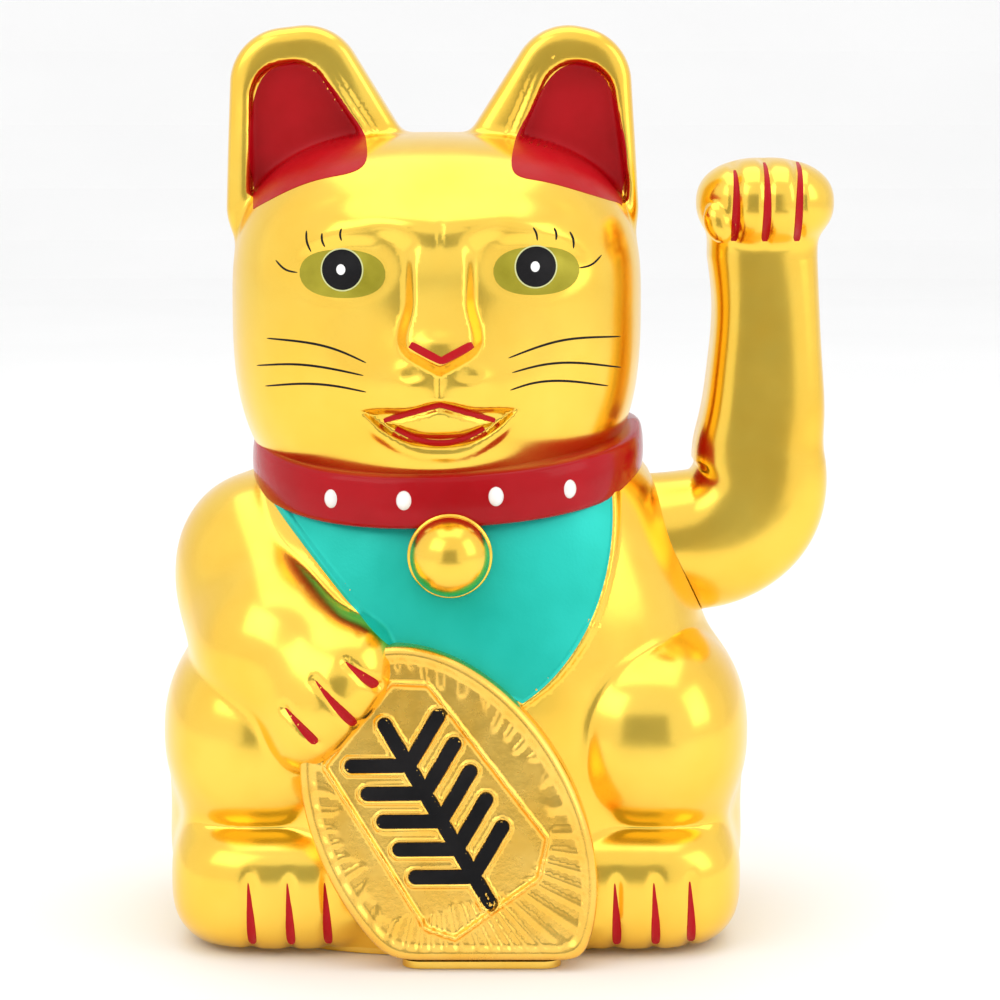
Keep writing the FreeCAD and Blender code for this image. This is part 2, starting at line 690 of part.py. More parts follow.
def pendulum_lever():
    """Hub with journal and square socket, a flat bar, and the cup for the weight and magnet."""
    hub = cylinder(HUB_R, (HUB_X[0], AXIS_Y, AXIS_Z), (HUB_X[1], AXIS_Y, AXIS_Z))
    journal = cylinder(JOURNAL_R, (HUB_X[1], AXIS_Y, AXIS_Z), (JOURNAL_END_X, AXIS_Y, AXIS_Z))
    bar_z = (HOLDER_Z[1] - 2.0, AXIS_Z - 6.0)
    bar = box((PENDULUM_X - 1.75, PENDULUM_X + 1.75), (-5.0, 5.0), bar_z)
    rib = box((PENDULUM_X - 4.0, PENDULUM_X + 4.0), (-1.0, 1.0), bar_z)
    cup = cylinder(HOLDER_R, (PENDULUM_X, AXIS_Y, HOLDER_Z[0]), (PENDULUM_X, AXIS_Y, HOLDER_Z[1]))
    lever = fused([hub, journal, bar, rib, cup])
    half = PEG_HALF + PEG_GAP
    socket = box(
        (HUB_X[1] - 0.6, JOURNAL_END_X + 1.0),
        (AXIS_Y - half, AXIS_Y + half),
        (AXIS_Z - half, AXIS_Z + half),
    )
    pin_hole = cylinder(PIN_R, (HUB_X[0] - 1.0, AXIS_Y, AXIS_Z), (HUB_X[0] + 6.0, AXIS_Y, AXIS_Z))
    pocket = cylinder(MAGNET_R, (PENDULUM_X, AXIS_Y, 0.0), (PENDULUM_X, AXIS_Y, WEIGHT_Z[1]))
    return lever.cut([socket, pin_hole, pocket])


def pivot_pin():
    return cylinder(PIN_R, (UPRIGHT_INNER[0] - 2.5, AXIS_Y, AXIS_Z), (HUB_X[0] + 6.0, AXIS_Y, AXIS_Z))


def pivot_clip():
    """Push-on washer that keeps the pin in the inner upright."""
    x = UPRIGHT_INNER[0] - 1.3
    clip = ring(3.4, PIN_R, (x, AXIS_Y, AXIS_Z), (x + 0.7, AXIS_Y, AXIS_Z))
    return clip.cut(box((x - 1, x + 2), (-0.8, 0.8), (AXIS_Z + 1.0, AXIS_Z + 5.0)))


def pendulum_weight():
    return cylinder(MAGNET_R, (PENDULUM_X, AXIS_Y, WEIGHT_Z[0]), (PENDULUM_X, AXIS_Y, WEIGHT_Z[1]))


def pendulum_magnet():
    return cylinder(MAGNET_R, (PENDULUM_X, AXIS_Y, MAGNET_Z[0]), (PENDULUM_X, AXIS_Y, MAGNET_Z[1]))


def collar(outer):
    """A band round the neck, higher at the back than at the front."""
    wires = [
        outline_wire(-0.5 * COLLAR_HEIGHT, COLLAR_X, COLLAR_HALF_WIDTH, COLLAR_FRONT, COLLAR_BACK),
        outline_wire(0.5 * COLLAR_HEIGHT, COLLAR_X, COLLAR_HALF_WIDTH, COLLAR_FRONT - 2.0, COLLAR_BACK),
    ]
    band = Part.makeLoft(wires, True, True)
    inner = Part.Face(
        outline_wire(-COLLAR_HEIGHT, COLLAR_X, COLLAR_HALF_WIDTH, COLLAR_FRONT, COLLAR_BACK, COLLAR_BAND)
    ).extrude(Vector(0, 0, 2.0 * COLLAR_HEIGHT))
    band = band.cut(inner)
    band.rotate(Vector(0, 0, 0), Vector(1, 0, 0), COLLAR_TILT)
    band.translate(Vector(0, 0, COLLAR_Z))
    return largest_solid(band.cut(outer))


def collar_studs(band):
    """Four round studs across the front of the collar."""
    studs = []
    for x in STUD_X:
        slope = -0.62 * (x - COLLAR_X) / COLLAR_HALF_WIDTH
        y = -(COLLAR_FRONT - 1.0) * (1.0 - abs((x - COLLAR_X) / COLLAR_HALF_WIDTH) ** SECTION_POWER) ** (
            1.0 / SECTION_POWER
        )
        z = COLLAR_Z - 0.6 + y * math.tan(math.radians(COLLAR_TILT))
        outward = Vector(-slope, -1.0, 0.0).normalize()
        seat = Vector(x, y, z)
        stud = Part.makeCylinder(STUD_R, 2.0 + STUD_PROUD, seat - outward * 2.0, outward)
        studs.append(largest_solid(stud.cut(band)))
    return studs


def bell(outer, band):
    ball = Part.makeSphere(BELL_R, BELL_CENTRE)
    lip = Part.makeTorus(BELL_R, BELL_LIP_R, BELL_CENTRE, Vector(0, 1, 0))
    return largest_solid(ball.fuse(lip).cut([outer, band]))


def coin_plaque(outer):
    """An oval plaque with a raised border, cut off flat where it meets the base."""
    centre = Vector(0, 0, 0)
    rim = Part.Ellipse(centre, PLAQUE_LONG, PLAQUE_SHORT).toShape()
    panel = Part.Ellipse(centre, PLAQUE_LONG - PLAQUE_BORDER, PLAQUE_SHORT - PLAQUE_BORDER).toShape()
    slab = Part.Face(Part.Wire(rim)).extrude(Vector(0, 0, PLAQUE_DEPTH))
    recess = Part.Face(Part.Wire(panel)).extrude(Vector(0, 0, PLAQUE_DEPTH))
    recess.translate(Vector(0, 0, PLAQUE_DEPTH - PLAQUE_RECESS))
    slab = slab.cut(recess)
    slab = slab.cut(box((-90, -PLAQUE_FLAT_END), (-90, 90), (-5, 60)))
    slab.translate(Vector(0, 0, -PLAQUE_DEPTH))
    slab.rotate(centre, Vector(0, 0, 1), PLAQUE_TURN - 90.0)
    slab.rotate(centre, Vector(1, 0, 0), 90.0 - PLAQUE_LEAN)
    lean_y = PLAQUE_FRONT_Y + math.tan(math.radians(PLAQUE_LEAN)) * PLAQUE_CENTRE_Z
    slab.translate(Vector(PLAQUE_CENTRE_X, lean_y, PLAQUE_CENTRE_Z))
    slab = slab.cut(box((-90, 90), (-90, 90), (-60, SHELL_BOTTOM)))
    return largest_solid(slab.cut(outer))


def largest_solid(shape):
    return max(shape.Solids, key=lambda solid: solid.Volume)


def lead(points, radius):
    """A round wire along straight runs joined by tangent arcs, each as large as its runs allow."""
    points = [Vector(*p) for p in points]
    edges = []
    start = points[0]
    for before, corner, after in zip(points, points[1:], points[2:]):
        run_in, run_out = corner - before, after - corner
        turn = run_in.getAngle(run_out)
        cut_back = 0.45 * min(run_in.Length, run_out.Length)
        bend = cut_back / math.tan(0.5 * turn)
        direction_in = Vector(run_in).normalize()
        direction_out = Vector(run_out).normalize()
        arc_start = corner - direction_in * cut_back
        arc_end = corner + direction_out * cut_back
        towards = (direction_out - direction_in).normalize()
        middle = corner + towards * (bend / math.cos(0.5 * turn) - bend)
        edges.append(Part.LineSegment(start, arc_start).toShape())
        edges.append(Part.Arc(arc_start, middle, arc_end).toShape())
        start = arc_end
    edges.append(Part.LineSegment(start, points[-1]).toShape())
    path = Part.Wire(edges)
    section = Part.Wire(Part.makeCircle(radius, points[0], points[1] - points[0]))
    return path.makePipeShell([section], True, True)


def make_parts():
    outer, front_shell, rear_shell = shell_halves()
    band = collar(outer)
    arm_front, arm_rear = arm_halves()
    parts = {
        "front_shell": front_shell,
        "rear_shell": rear_shell,
        "collar": band,
        "collar_studs": Part.makeCompound(collar_studs(band)),
        "bell": bell(outer, band),
        "coin_plaque": coin_plaque(outer),
        "base_plate": base_plate(),
        "base_screws": Part.makeCompound(base_screws()),
        "battery_door": battery_door(),
        "battery_tray": battery_tray(),
        "battery_cell": battery_cell(),
        "contact_spring": contact_spring(),
        "contact_tab_front": contact_tab(True),
        "contact_tab_rear": contact_tab(False),
        "movement_frame": movement_frame(),
        "movement_screws": Part.makeCompound(movement_screws()),
        "coil_bobbin": coil_bobbin(),
        "coil_winding": coil_winding(),
        "circuit_board": circuit_board(),
        "transistor": transistor(),
        "capacitor": capacitor(),
        "resistor": resistor(),
        "switch_housing": switch_housing(),
        "switch_slider": switch_slider(),
        "arm_front_half": arm_front,
        "arm_rear_half": arm_rear,
        "shoulder_plug": shoulder_plug(),
        "pendulum_lever": pendulum_lever(),
        "pivot_pin": pivot_pin(),
        "pivot_clip": pivot_clip(),
        "pendulum_weight": pendulum_weight(),
        "pendulum_magnet": pendulum_magnet(),
    }
    for name, route in LEAD_ROUTES.items():
        parts[name] = lead(route, LEAD_R)
    return parts


os.makedirs(PARTS_FOLDER, exist_ok=True)
for node, shape in make_parts().items():
    print(f"{node:20s} solids {len(shape.Solids)}  volume {shape.Volume:10.1f}  valid {shape.isValid()}")
    shape.exportStep(f"{PARTS_FOLDER}/{node}.step")
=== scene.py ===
import json
import math
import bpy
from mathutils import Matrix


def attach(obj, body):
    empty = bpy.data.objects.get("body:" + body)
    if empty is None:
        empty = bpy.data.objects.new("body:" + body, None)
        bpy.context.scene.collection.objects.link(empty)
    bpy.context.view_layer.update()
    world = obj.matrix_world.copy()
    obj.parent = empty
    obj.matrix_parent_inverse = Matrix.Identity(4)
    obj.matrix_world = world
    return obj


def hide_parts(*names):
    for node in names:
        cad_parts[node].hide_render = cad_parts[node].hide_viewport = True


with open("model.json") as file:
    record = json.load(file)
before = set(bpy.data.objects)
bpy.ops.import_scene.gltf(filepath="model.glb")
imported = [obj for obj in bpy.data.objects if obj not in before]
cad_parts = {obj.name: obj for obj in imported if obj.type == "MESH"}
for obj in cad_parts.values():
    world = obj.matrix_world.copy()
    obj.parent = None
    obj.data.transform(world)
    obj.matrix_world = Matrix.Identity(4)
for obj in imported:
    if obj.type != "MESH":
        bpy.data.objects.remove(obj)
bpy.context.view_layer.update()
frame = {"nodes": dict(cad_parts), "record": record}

from concurrent.futures import ThreadPoolExecutor

import bpy
import numpy as np
from mathutils import Vector
from mathutils.geometry import tessellate_polygon

# All shapes below are worked out in millimetres and turned into metres when a mesh is made.
MM = 0.001

# ---------------------------------------------------------------- driving sizes
HEAD_X = -4.3
HEAD_Z = 139.0
FACE_X = -3.4
SEAM_Y = 1.0
SHELL_BOTTOM = 1.5
WALL = 1.8
BASE_HOLE_X = 46.3
BASE_HOLE_Y = 37.8
BASE_HOLE_POWER = 2.4
SEAM_GAP = 0.05
AXIS_Z = 85.0
SHOULDER_HOLE_R = 16.3
SHOULDER_HOLE_X = 41.0
ARM_START_X = 41.5
ARM_WALL = 1.6
ARM_SEAM_Y = 0.6
SHELL_STEP = 0.8
INNER_STEP = 2.4
ARM_STEP = 0.6
# Points nearer to a cut than this share of the step are moved onto it.
SNAP = 0.15
PAINT_LIFT = 0.06
PAINT_DEPTH = 0.25


# ---------------------------------------------------------------- fields
# A field gives a number for every point: below zero inside the shape and above zero outside, and about
# the distance to the surface in mm.
def smooth_min(a, b, blend):
    share = np.clip(blend - np.abs(a - b), 0.0, None) / blend
    return np.minimum(a, b) - share * share * share * blend / 6.0


def smooth_max(a, b, blend):
    return -smooth_min(-a, -b, blend)


def bump(t):
    """1 at t = 0, falling smoothly to 0 at t = 1 and beyond."""
    return np.clip(1.0 - t * t, 0.0, None) ** 3


def step_up(t):
    """0 below -1 and 1 above 1, with a smooth rise between."""
    t = np.clip(0.5 * t + 0.5, 0.0, 1.0)
    return t * t * t * (t * (6.0 * t - 15.0) + 10.0)


def ellipsoid(x, y, z, centre, radii, turn_y=0.0):
    """turn_y turns the ellipsoid about an axis along Y, in degrees."""
    x, y, z = x - centre[0], y - centre[1], z - centre[2]
    if turn_y:
        c, s = math.cos(math.radians(turn_y)), math.sin(math.radians(turn_y))
        x, z = c * x + s * z, c * z - s * x
    k0 = np.sqrt((x / radii[0]) ** 2 + (y / radii[1]) ** 2 + (z / radii[2]) ** 2) + 1e-9
    k1 = np.sqrt((x / radii[0] ** 2) ** 2 + (y / radii[1] ** 2) ** 2 + (z / radii[2] ** 2) ** 2) + 1e-9
    return k0 * (k0 - 1.0) / k1


def super_ellipsoid(x, y, z, centre, radii, across, upright):
    """An ellipsoid with flatter sides: across is its power seen from above, upright from the side."""
    x = np.abs(x - centre[0]) / radii[0]
    y = np.abs(y - centre[1]) / radii[1]
    z = np.abs(z - centre[2]) / radii[2]
    u = x**across + y**across + 1e-12
    v = u ** (upright / across) + z**upright + 1e-12
    q = v ** (1.0 / upright)
    common = v ** (1.0 / upright - 1.0)
    gx = common * u ** (upright / across - 1.0) * x ** (across - 1.0) / radii[0]
    gy = common * u ** (upright / across - 1.0) * y ** (across - 1.0) / radii[1]
    gz = common * z ** (upright - 1.0) / radii[2]
    return (q - 1.0) / np.sqrt(gx * gx + gy * gy + gz * gz + 1e-12)


class Curve:
    """A smooth curve through a few (place, value) pairs, with no kink in its bend."""

    def __init__(self, pairs):
        self.x = np.array([p[0] for p in pairs], float)
        self.y = np.array([p[1] for p in pairs], float)
        gap = np.diff(self.x)
        count = len(pairs)
        matrix = np.eye(count)
        right = np.zeros(count)
        for i in range(1, count - 1):
            matrix[i, i - 1 : i + 2] = gap[i - 1], 2.0 * (gap[i - 1] + gap[i]), gap[i]
            right[i] = 6.0 * ((self.y[i + 1] - self.y[i]) / gap[i] - (self.y[i] - self.y[i - 1]) / gap[i - 1])
        self.bend = np.linalg.solve(matrix, right)

    def __call__(self, x):
        x = np.clip(x, self.x[0], self.x[-1])
        i = np.clip(np.searchsorted(self.x, x) - 1, 0, len(self.x) - 2)
        gap = self.x[i + 1] - self.x[i]
        a, b = (self.x[i + 1] - x) / gap, (x - self.x[i]) / gap
        curved = (a**3 - a) * self.bend[i] + (b**3 - b) * self.bend[i + 1]
        return a * self.y[i] + b * self.y[i + 1] + curved * gap * gap / 6.0


TORSO_WIDTH = Curve([(-6, 49.5), (4, 54.0), (14, 57.0), (30, 58.0), (46, 57.5), (60, 56.6), (70, 55.2),
                     (80, 52.4), (90, 48.6), (99, 44.6), (106, 39.0), (114, 31.0)])
TORSO_FRONT = Curve([(-6, 40.0), (4, 43.0), (16, 45.0), (40, 45.4), (56, 45.2), (70, 44.0), (84, 41.5),
                     (94, 38.6), (104, 34.0), (114, 27.0)])
TORSO_BACK = Curve([(-6, 38.0), (4, 43.0), (16, 47.5), (34, 49.3), (52, 48.6), (68, 45.6), (82, 42.4),
                    (94, 38.8), (104, 34.0), (114, 27.0)])
TORSO_POWER = 2.35


def torso(x, y, z):
    """The trunk: at every height an oval with its own reach to the sides, the front and the back."""
    width = TORSO_WIDTH(z)
    reach = np.where(y < 0.0, TORSO_FRONT(z), TORSO_BACK(z))
    u, v = np.abs(x) / width, np.abs(y) / reach
    q = (u**TORSO_POWER + v**TORSO_POWER + 1e-12) ** (1.0 / TORSO_POWER)
    common = q ** (1.0 - TORSO_POWER)
    gx = common * u ** (TORSO_POWER - 1.0) / width
    gy = common * v ** (TORSO_POWER - 1.0) / reach
    side = (q - 1.0) / np.sqrt(gx * gx + gy * gy + 1e-12)
    return smooth_max(side, z - 112.0, 6.0)


def haunches(x, y, z):
    side = np.abs(x)
    thigh = super_ellipsoid(side, y, z, (41.5, -12.0, 45.0), (23.2, 33.8, 25.0), 2.4, 2.25)
    hip = super_ellipsoid(side, y, z, (40.0, 10.0, 36.0), (24.6, 36.0, 33.0), 2.3, 2.3)
    return smooth_min(thigh, hip, 8.0)


# Where the lines between the toes stand, across the front of each foot.
TOES = {"left": (-44.2, -35.8, -27.8), "right": (34.4, 42.8, 50.6)}


def feet(x, y, z):
    side = np.abs(x)
    foot = super_ellipsoid(side, y, z, (36.5, -19.0, 13.6), (26.2, 27.4, 16.0), 2.9, 2.9)
    for place in TOES["left"] + TOES["right"]:
        across = (x - place) / 1.3
        foot = foot + 0.9 * np.exp(-across * across) * step_up((18.0 - z) / 3.5) * step_up((-y - 33.0) / 4.0)
    return foot


def legs(x, y, z):
    """Haunch and foot: a crease runs between them in front and fades out on the outer side."""
    blend = 2.4 + 11.0 * step_up((np.abs(x) - 54.0) / 7.0) + 6.0 * step_up((y + 14.0) / 10.0)
    return smooth_min(haunches(x, y, z), feet(x, y, z), blend)


# Lines between the fingers, as (x, z, x, z) from one end to the other.
CLAW_LINES = [(-23.2, 66.4, -16.6, 61.0), (-29.6, 62.6, -21.2, 53.0), (-36.0, 56.4, -29.4, 49.2)]


def holding_arm(x, y, z):
    """Shoulder, upper arm and paw of the arm that holds the plaque."""
    shoulder = super_ellipsoid(x, y, z, (-42.0, -4.0, 79.0), (20.8, 25.0, 22.0), 2.2, 2.1)
    forearm = ellipsoid(x, y, z, (-38.5, -23.5, 66.0), (19.0, 25.0, 21.0), -20.0)
    paw = ellipsoid(x, y, z, (-26.6, -41.0, 57.2), (12.2, 15.0, 18.6), -33.0)
    arm_shape = smooth_min(shoulder, forearm, 16.0)
    arm_shape = smooth_min(arm_shape, paw, 15.0)
    # The fingers end along the panel of the plaque.
    beyond = 0.728 * (x + 13.8) - 0.685 * (z - 61.9) - 2.6
    arm_shape = smooth_max(arm_shape, beyond, 4.0)
    for ax, az, bx, bz in CLAW_LINES:
        line = line_distance(x, z, ax, az, bx, bz) / 1.1
        arm_shape = arm_shape + 0.8 * np.exp(-line * line) * step_up((-y - 42.0) / 4.0)
    return arm_shape


def line_distance(x, z, ax, az, bx, bz):
    dx, dz = bx - ax, bz - az
    along = np.clip(((x - ax) * dx + (z - az) * dz) / (dx * dx + dz * dz), 0.0, 1.0)
    return np.sqrt((x - ax - along * dx) ** 2 + (z - az - along * dz) ** 2)


# The bib's outline on the chest: down its left edge, along the plaque, and up its round right edge.
BIB_RIGHT = Curve([(55.5, 14.2), (58.5, 18.4), (62.5, 22.6), (71.4, 28.8), (83.3, 33.2), (97.2, 34.6),
                   (101.0, 34.4)])
BIB_LOW = 55.5
BIB_CORNER = (-14.2, 68.0)
BIB_TIP = (14.0, 55.5)
BIB_TOP_LEFT = (-42.0, 100.4)


def bib_edge(x, z):
    """How far a point on the chest is from the bib's outline, seen from the front."""
    left = line_distance(x, z, *BIB_TOP_LEFT, *BIB_CORNER)
    low = line_distance(x, z, *BIB_CORNER, *BIB_TIP)
    right = np.abs(x - BIB_RIGHT(z)) * np.where(z < 72.0, 0.68, 0.98) + np.clip(BIB_LOW - z, 0.0, None)
    return np.minimum(np.minimum(left, low), right)


def head(x, y, z):
    """The plain head, which reaches further in front than behind, and further down than up."""
    tall = np.where(z < HEAD_Z, 49.5, 37.4)
    deep = np.where(y < 0.0, 42.6, 38.0)
    return super_ellipsoid(x, y, z, (HEAD_X, 0.0, HEAD_Z), (45.5, deep, tall), 2.35, 2.8)


# ---------------------------------------------------------------- face
EYES = ((-20.7, 148.2), (20.5, 148.8))
EYE_LONG = 9.3
EYE_TALL = 5.1
MOUTH_TOP = Curve([(-17.0, 118.4), (-12.0, 119.0), (-6.0, 119.4), (0.0, 120.8), (6.0, 119.6), (12.0, 119.2),
                   (16.5, 118.8)])
MOUTH_LOW = Curve([(-17.0, 118.2), (-12.0, 114.2), (-6.7, 111.5), (0.0, 110.7), (6.5, 111.5), (12.0, 114.6),
                   (16.5, 118.6)])


def brow_line(u):
    """Height of the brow ridge: highest beside the bridge and falling away outwards."""
    side = np.abs(u)
    return 158.6 - 0.0105 * (side - 9.0) ** 2


def face_relief(x, z):
    """How far the face stands out from the plain head, in mm, seen from the front."""
    u = x - FACE_X
    side = np.abs(u)
    # Bridge of the nose: steep sides that spread at the nostrils below and run into the brows above.
    half = 6.3 + 1.6 * bump((z - 134.0) / 9.0) + 5.0 * step_up((z - 156.0) / 5.0)
    edge = 1.9 + 5.0 * step_up((z - 154.0) / 6.0)
    bridge = step_up((half - side) / edge) * step_up((z - 127.4 - 0.52 * side) / 2.2)
    bridge = bridge * step_up((159.0 - z) / 7.0)
    relief = bridge * (1.6 + 4.4 * np.clip((157.0 - z) / 23.0, 0.0, 1.0))
    relief = relief + 0.6 * bump(np.sqrt((u / 6.5) ** 2 + ((z - 133.5) / 4.5) ** 2))
    # A soft ridge over both eyes, with a dent in its middle.
    brow = step_up((27.0 - side) / 9.0)
    relief = relief + 1.5 * brow * bump((z - brow_line(u)) / 6.5)
    relief = relief - 0.35 * bump(u / 1.6) * bump((z - 155.5) / 5.5)
    for ex, ez in EYES:
        ux, uz = u - ex, z - ez + 0.6
        relief = relief - 1.9 * bump(np.sqrt((ux / 15.5) ** 2 + ((uz - 0.6) / 8.6) ** 2))
        relief = relief + 2.3 * bump(np.sqrt((ux / 11.5) ** 2 + (uz / 7.4) ** 2))
    # Muzzle with a pit on each side, the groove below the nose, and the chin.
    relief = relief + 4.6 * bump(np.sqrt((u / 34.0) ** 2 + ((z - 121.0) / 27.0) ** 2))
    relief = relief + 0.9 * bump(np.sqrt(((side - 6.0) / 7.5) ** 2 + ((z - 125.0) / 6.0) ** 2))
    pit = np.sqrt(((side - 5.9) / 4.2) ** 2 + ((z - 126.3) / 2.4) ** 2)
    relief = relief - 0.6 * bump(pit)
    relief = relief - 0.45 * bump(u / 1.2) * step_up((128.6 - z) / 1.2) * step_up((z - 121.5) / 1.5)
    relief = relief + 3.2 * bump(np.sqrt((u / 36.0) ** 2 + ((z - 103.5) / 10.0) ** 2))
    # Mouth: a hollow between the two lips, with a step that stands up in it.
    top, low = MOUTH_TOP(u), MOUTH_LOW(u)
    inside = np.minimum(top - z, z - low)
    relief = relief - 1.8 * step_up((inside - 0.5) / 1.2) * step_up((16.5 - side) / 2.5)
    tongue = np.minimum(119.0 - 0.3 * side - z, z - 112.8 - 0.026 * u * u)
    relief = relief + 1.1 * step_up((tongue - 0.2) / 1.1) * step_up((12.0 - side) / 3.0)
    relief = relief + 0.6 * bump((z - low + 1.6) / 2.6) * step_up((15.0 - side) / 3.0)
    return relief


# ---------------------------------------------------------------- ears
# Seen from the front an ear, and the bowl in it, are rounded polygons: these are the corners before rounding.
EAR_ROUND = 12.5
BOWL_ROUND = 7.6
EARS = {
    "left": [(-33.3, 187.5), (-37.6, 187.0), (-38.4, 160.0), (-17.0, 161.0)],
    "right": [(24.9, 187.5), (26.4, 187.2), (28.0, 160.0), (8.2, 161.0)],
}
BOWLS = {
    "left": [(-35.6, 184.3), (-37.7, 184.0), (-38.0, 150.0), (-18.0, 158.0), (-25.2, 168.6)],
    "right": [(26.2, 184.2), (27.4, 184.0), (30.2, 165.0), (30.0, 150.0), (12.0, 158.0), (19.4, 168.6)],
}
# The groove in an ear's rim runs within EAR_GROOVE_REACH of this place across the head.
EAR_GROOVE = {"left": -9.0, "right": 9.0}
EAR_GROOVE_REACH = 12.0


def polygon_distance(x, z, points):
    """Signed distance to a polygon, below zero inside."""
    best = np.full(np.shape(x), 1e9)
    sign = np.ones(np.shape(x))
    for (ax, az), (bx, bz) in zip(points, points[1:] + points[:1]):
        dx, dz = bx - ax, bz - az
        wx, wz = x - ax, z - az
        along = np.clip((wx * dx + wz * dz) / (dx * dx + dz * dz), 0.0, 1.0)
        best = np.minimum(best, (wx - along * dx) ** 2 + (wz - along * dz) ** 2)
        above, below = z >= az, z < bz
        left = dx * wz > dz * wx
        flip = (above & below & left) | (~above & ~below & ~left)
        sign = np.where(flip, -sign, sign)
    return sign * np.sqrt(best)


def ears(x, y, z):
    shape = None
    for name, points in EARS.items():
        outline = polygon_distance(x, z, points) - EAR_ROUND
        thick = 6.6 + 2.4 * step_up((180.0 - z) / 14.0)
        plate = smooth_max(outline, np.abs(y - 0.6) - thick, 6.5)
        # The bowl leaves a thick round rim, with a narrow step along it near the edge of the bowl.
        bowl = polygon_distance(x, z, BOWLS[name]) - BOWL_ROUND
        floor = y + 1.6 - 0.03 * (z - 175.0)
        plate = smooth_max(plate, -smooth_max(bowl, floor, 2.0), 2.2)
        groove = 0.5 * bump((bowl - 2.6) / 1.5)
        inner_side = step_up((EAR_GROOVE_REACH - np.abs(x - HEAD_X - EAR_GROOVE[name])) / 4.0)
        plate = plate + groove * inner_side * step_up((-y - 1.0) / 2.0)
        shape = plate if shape is None else smooth_min(shape, plate, 1.0)
    return shape


def cat(x, y, z):
    """The outside of the gold shell."""
    front = step_up((-y - 12.0) / 10.0)
    skull = head(x, y, z) - front * face_relief(x, z)
    skull = smooth_min(skull, ears(x, y, z), 3.0)
    trunk = torso(x, y, z)
    chest = step_up((-y - 14.0) / 8.0)
    trunk = trunk - chest * 0.7 * bump(bib_edge(x, z) / 1.5) * step_up((104.0 - z) / 3.0)
    trunk = smooth_min(trunk, legs(x, y, z), 2.2 + 4.0 * step_up((y + 10.0) / 8.0))
    trunk = smooth_min(trunk, holding_arm(x, y, z), 2.0 + 5.0 * step_up((y + 4.0) / 6.0))
    whole = smooth_min(trunk, skull, 2.0)
    return smooth_max(whole, SHELL_BOTTOM - 3.0 - z, 1.0)


def cat_inside(x, y, z):
    """The hollow: it follows the outside, but near the bottom it stays inside the base plate."""
    across = (np.abs(x) / BASE_HOLE_X) ** BASE_HOLE_POWER + (np.abs(y) / BASE_HOLE_Y) ** BASE_HOLE_POWER
    rim = (across ** (1.0 / BASE_HOLE_POWER) - 1.0) * BASE_HOLE_Y
    ledge = smooth_max(z - SHELL_BOTTOM - 3.5, -rim, 1.0)
    return smooth_max(cat(x, y, z) + WALL, -ledge, 1.0)


# ---------------------------------------------------------------- raised arm
BEND_X = 52.5
BEND_Z = 103.5
BEND_R = 17.0
BEND_LENGTH = BEND_R * 0.5 * math.pi
# Along the arm: how far its middle is off the path, half its width, half its depth, and its power.
ARM_SHIFT = Curve([(-16, 1.9), (-6, 1.9), (0, 1.5), (8, 0.9), (16, 0.2), (24, -1.2), (30, -1.7), (36, -1.0),
                   (48, -0.4), (62, -0.4), (72, -1.2)])
ARM_WIDE = Curve([(-16, 15.2), (-6, 15.5), (2, 15.9), (12, 16.0), (20, 15.6), (27, 14.8), (35, 13.9),
                  (48, 12.6), (62, 11.8), (72, 12.2)])
ARM_DEEP = Curve([(-16, 15.2), (-6, 15.4), (2, 15.2), (12, 14.6), (20, 14.2), (27, 13.7), (35, 13.2),
                  (48, 12.4), (62, 11.6), (72, 11.4)])
ARM_POWER = Curve([(-16, 2.0), (-4, 2.0), (8, 2.4), (20, 3.0), (32, 3.6), (60, 3.6), (72, 3.0)])
FIST_LINES = (61.2, 67.9, 75.0)


def limb(x, y, z):
    """The arm follows a straight run along X, a quarter bend, and a straight run up."""
    dx, dz = x - BEND_X, BEND_Z - z
    around = np.arctan2(np.clip(dx, 0.0, None), np.clip(dz, 1e-9, None))
    away = np.sqrt(np.clip(dx, 0.0, None) ** 2 + np.clip(dz, 0.0, None) ** 2)
    along = np.where(dx < 0.0, dx, np.where(dz < 0.0, BEND_LENGTH - dz, BEND_R * around))
    offset = np.where(dx < 0.0, dz, np.where(dz < 0.0, dx, away)) - BEND_R
    u = np.abs(offset - ARM_SHIFT(along)) / ARM_WIDE(along)
    v = np.abs(y) / ARM_DEEP(along)
    power = ARM_POWER(along)
    q = (u**power + v**power + 1e-12) ** (1.0 / power)
    return (q - 1.0) * 0.5 * (ARM_WIDE(along) + ARM_DEEP(along)) * 0.95


def arm(x, y, z):
    shape = smooth_max(limb(x, y, z), z - 157.0, 5.0)
    fist = super_ellipsoid(x, y, z, (68.5, -3.6, 161.0), (15.2, 14.0, 9.9), 2.4, 2.3)
    for place in FIST_LINES:
        lean = 0.0 if place < 70.0 else 0.05 * (162.0 - z)
        across = (x - place - lean) / 1.2
        fist = fist + 0.9 * np.exp(-across * across) * step_up((-y - 4.0) / 5.0) * step_up((z - 152.5) / 3.0)
    thumb = ellipsoid(x, y, z, (57.6, -13.0, 156.8), (3.2, 3.4, 4.6), 20.0)
    shape = smooth_min(shape, fist, 3.4)
    shape = smooth_min(shape, thumb, 1.5)
    return smooth_max(shape, ARM_START_X - 3.0 - x, 1.0)


def arm_inside(x, y, z):
    return arm(x, y, z) + ARM_WALL


# ---------------------------------------------------------------- meshes from fields
POOL = ThreadPoolExecutor(4)
BLOCK = 8
CHUNK = 60000


def evaluate(field, points):
    """The field at every row of points, worked out in chunks on all cores."""
    chunks = np.array_split(points, max(1, len(points) // CHUNK))
    return np.concatenate(list(POOL.map(lambda c: field(c[:, 0], c[:, 1], c[:, 2]), chunks)))


def gradient(field, points, reach=0.04):
    columns = []
    for axis in range(3):
        shift = np.zeros(3)
        shift[axis] = reach
        columns.append(evaluate(field, points + shift) - evaluate(field, points - shift))
    return np.stack(columns, 1) / (2.0 * reach)


def unit(vectors):
    return vectors / np.maximum(np.linalg.norm(vectors, axis=1, keepdims=True), 1e-12)


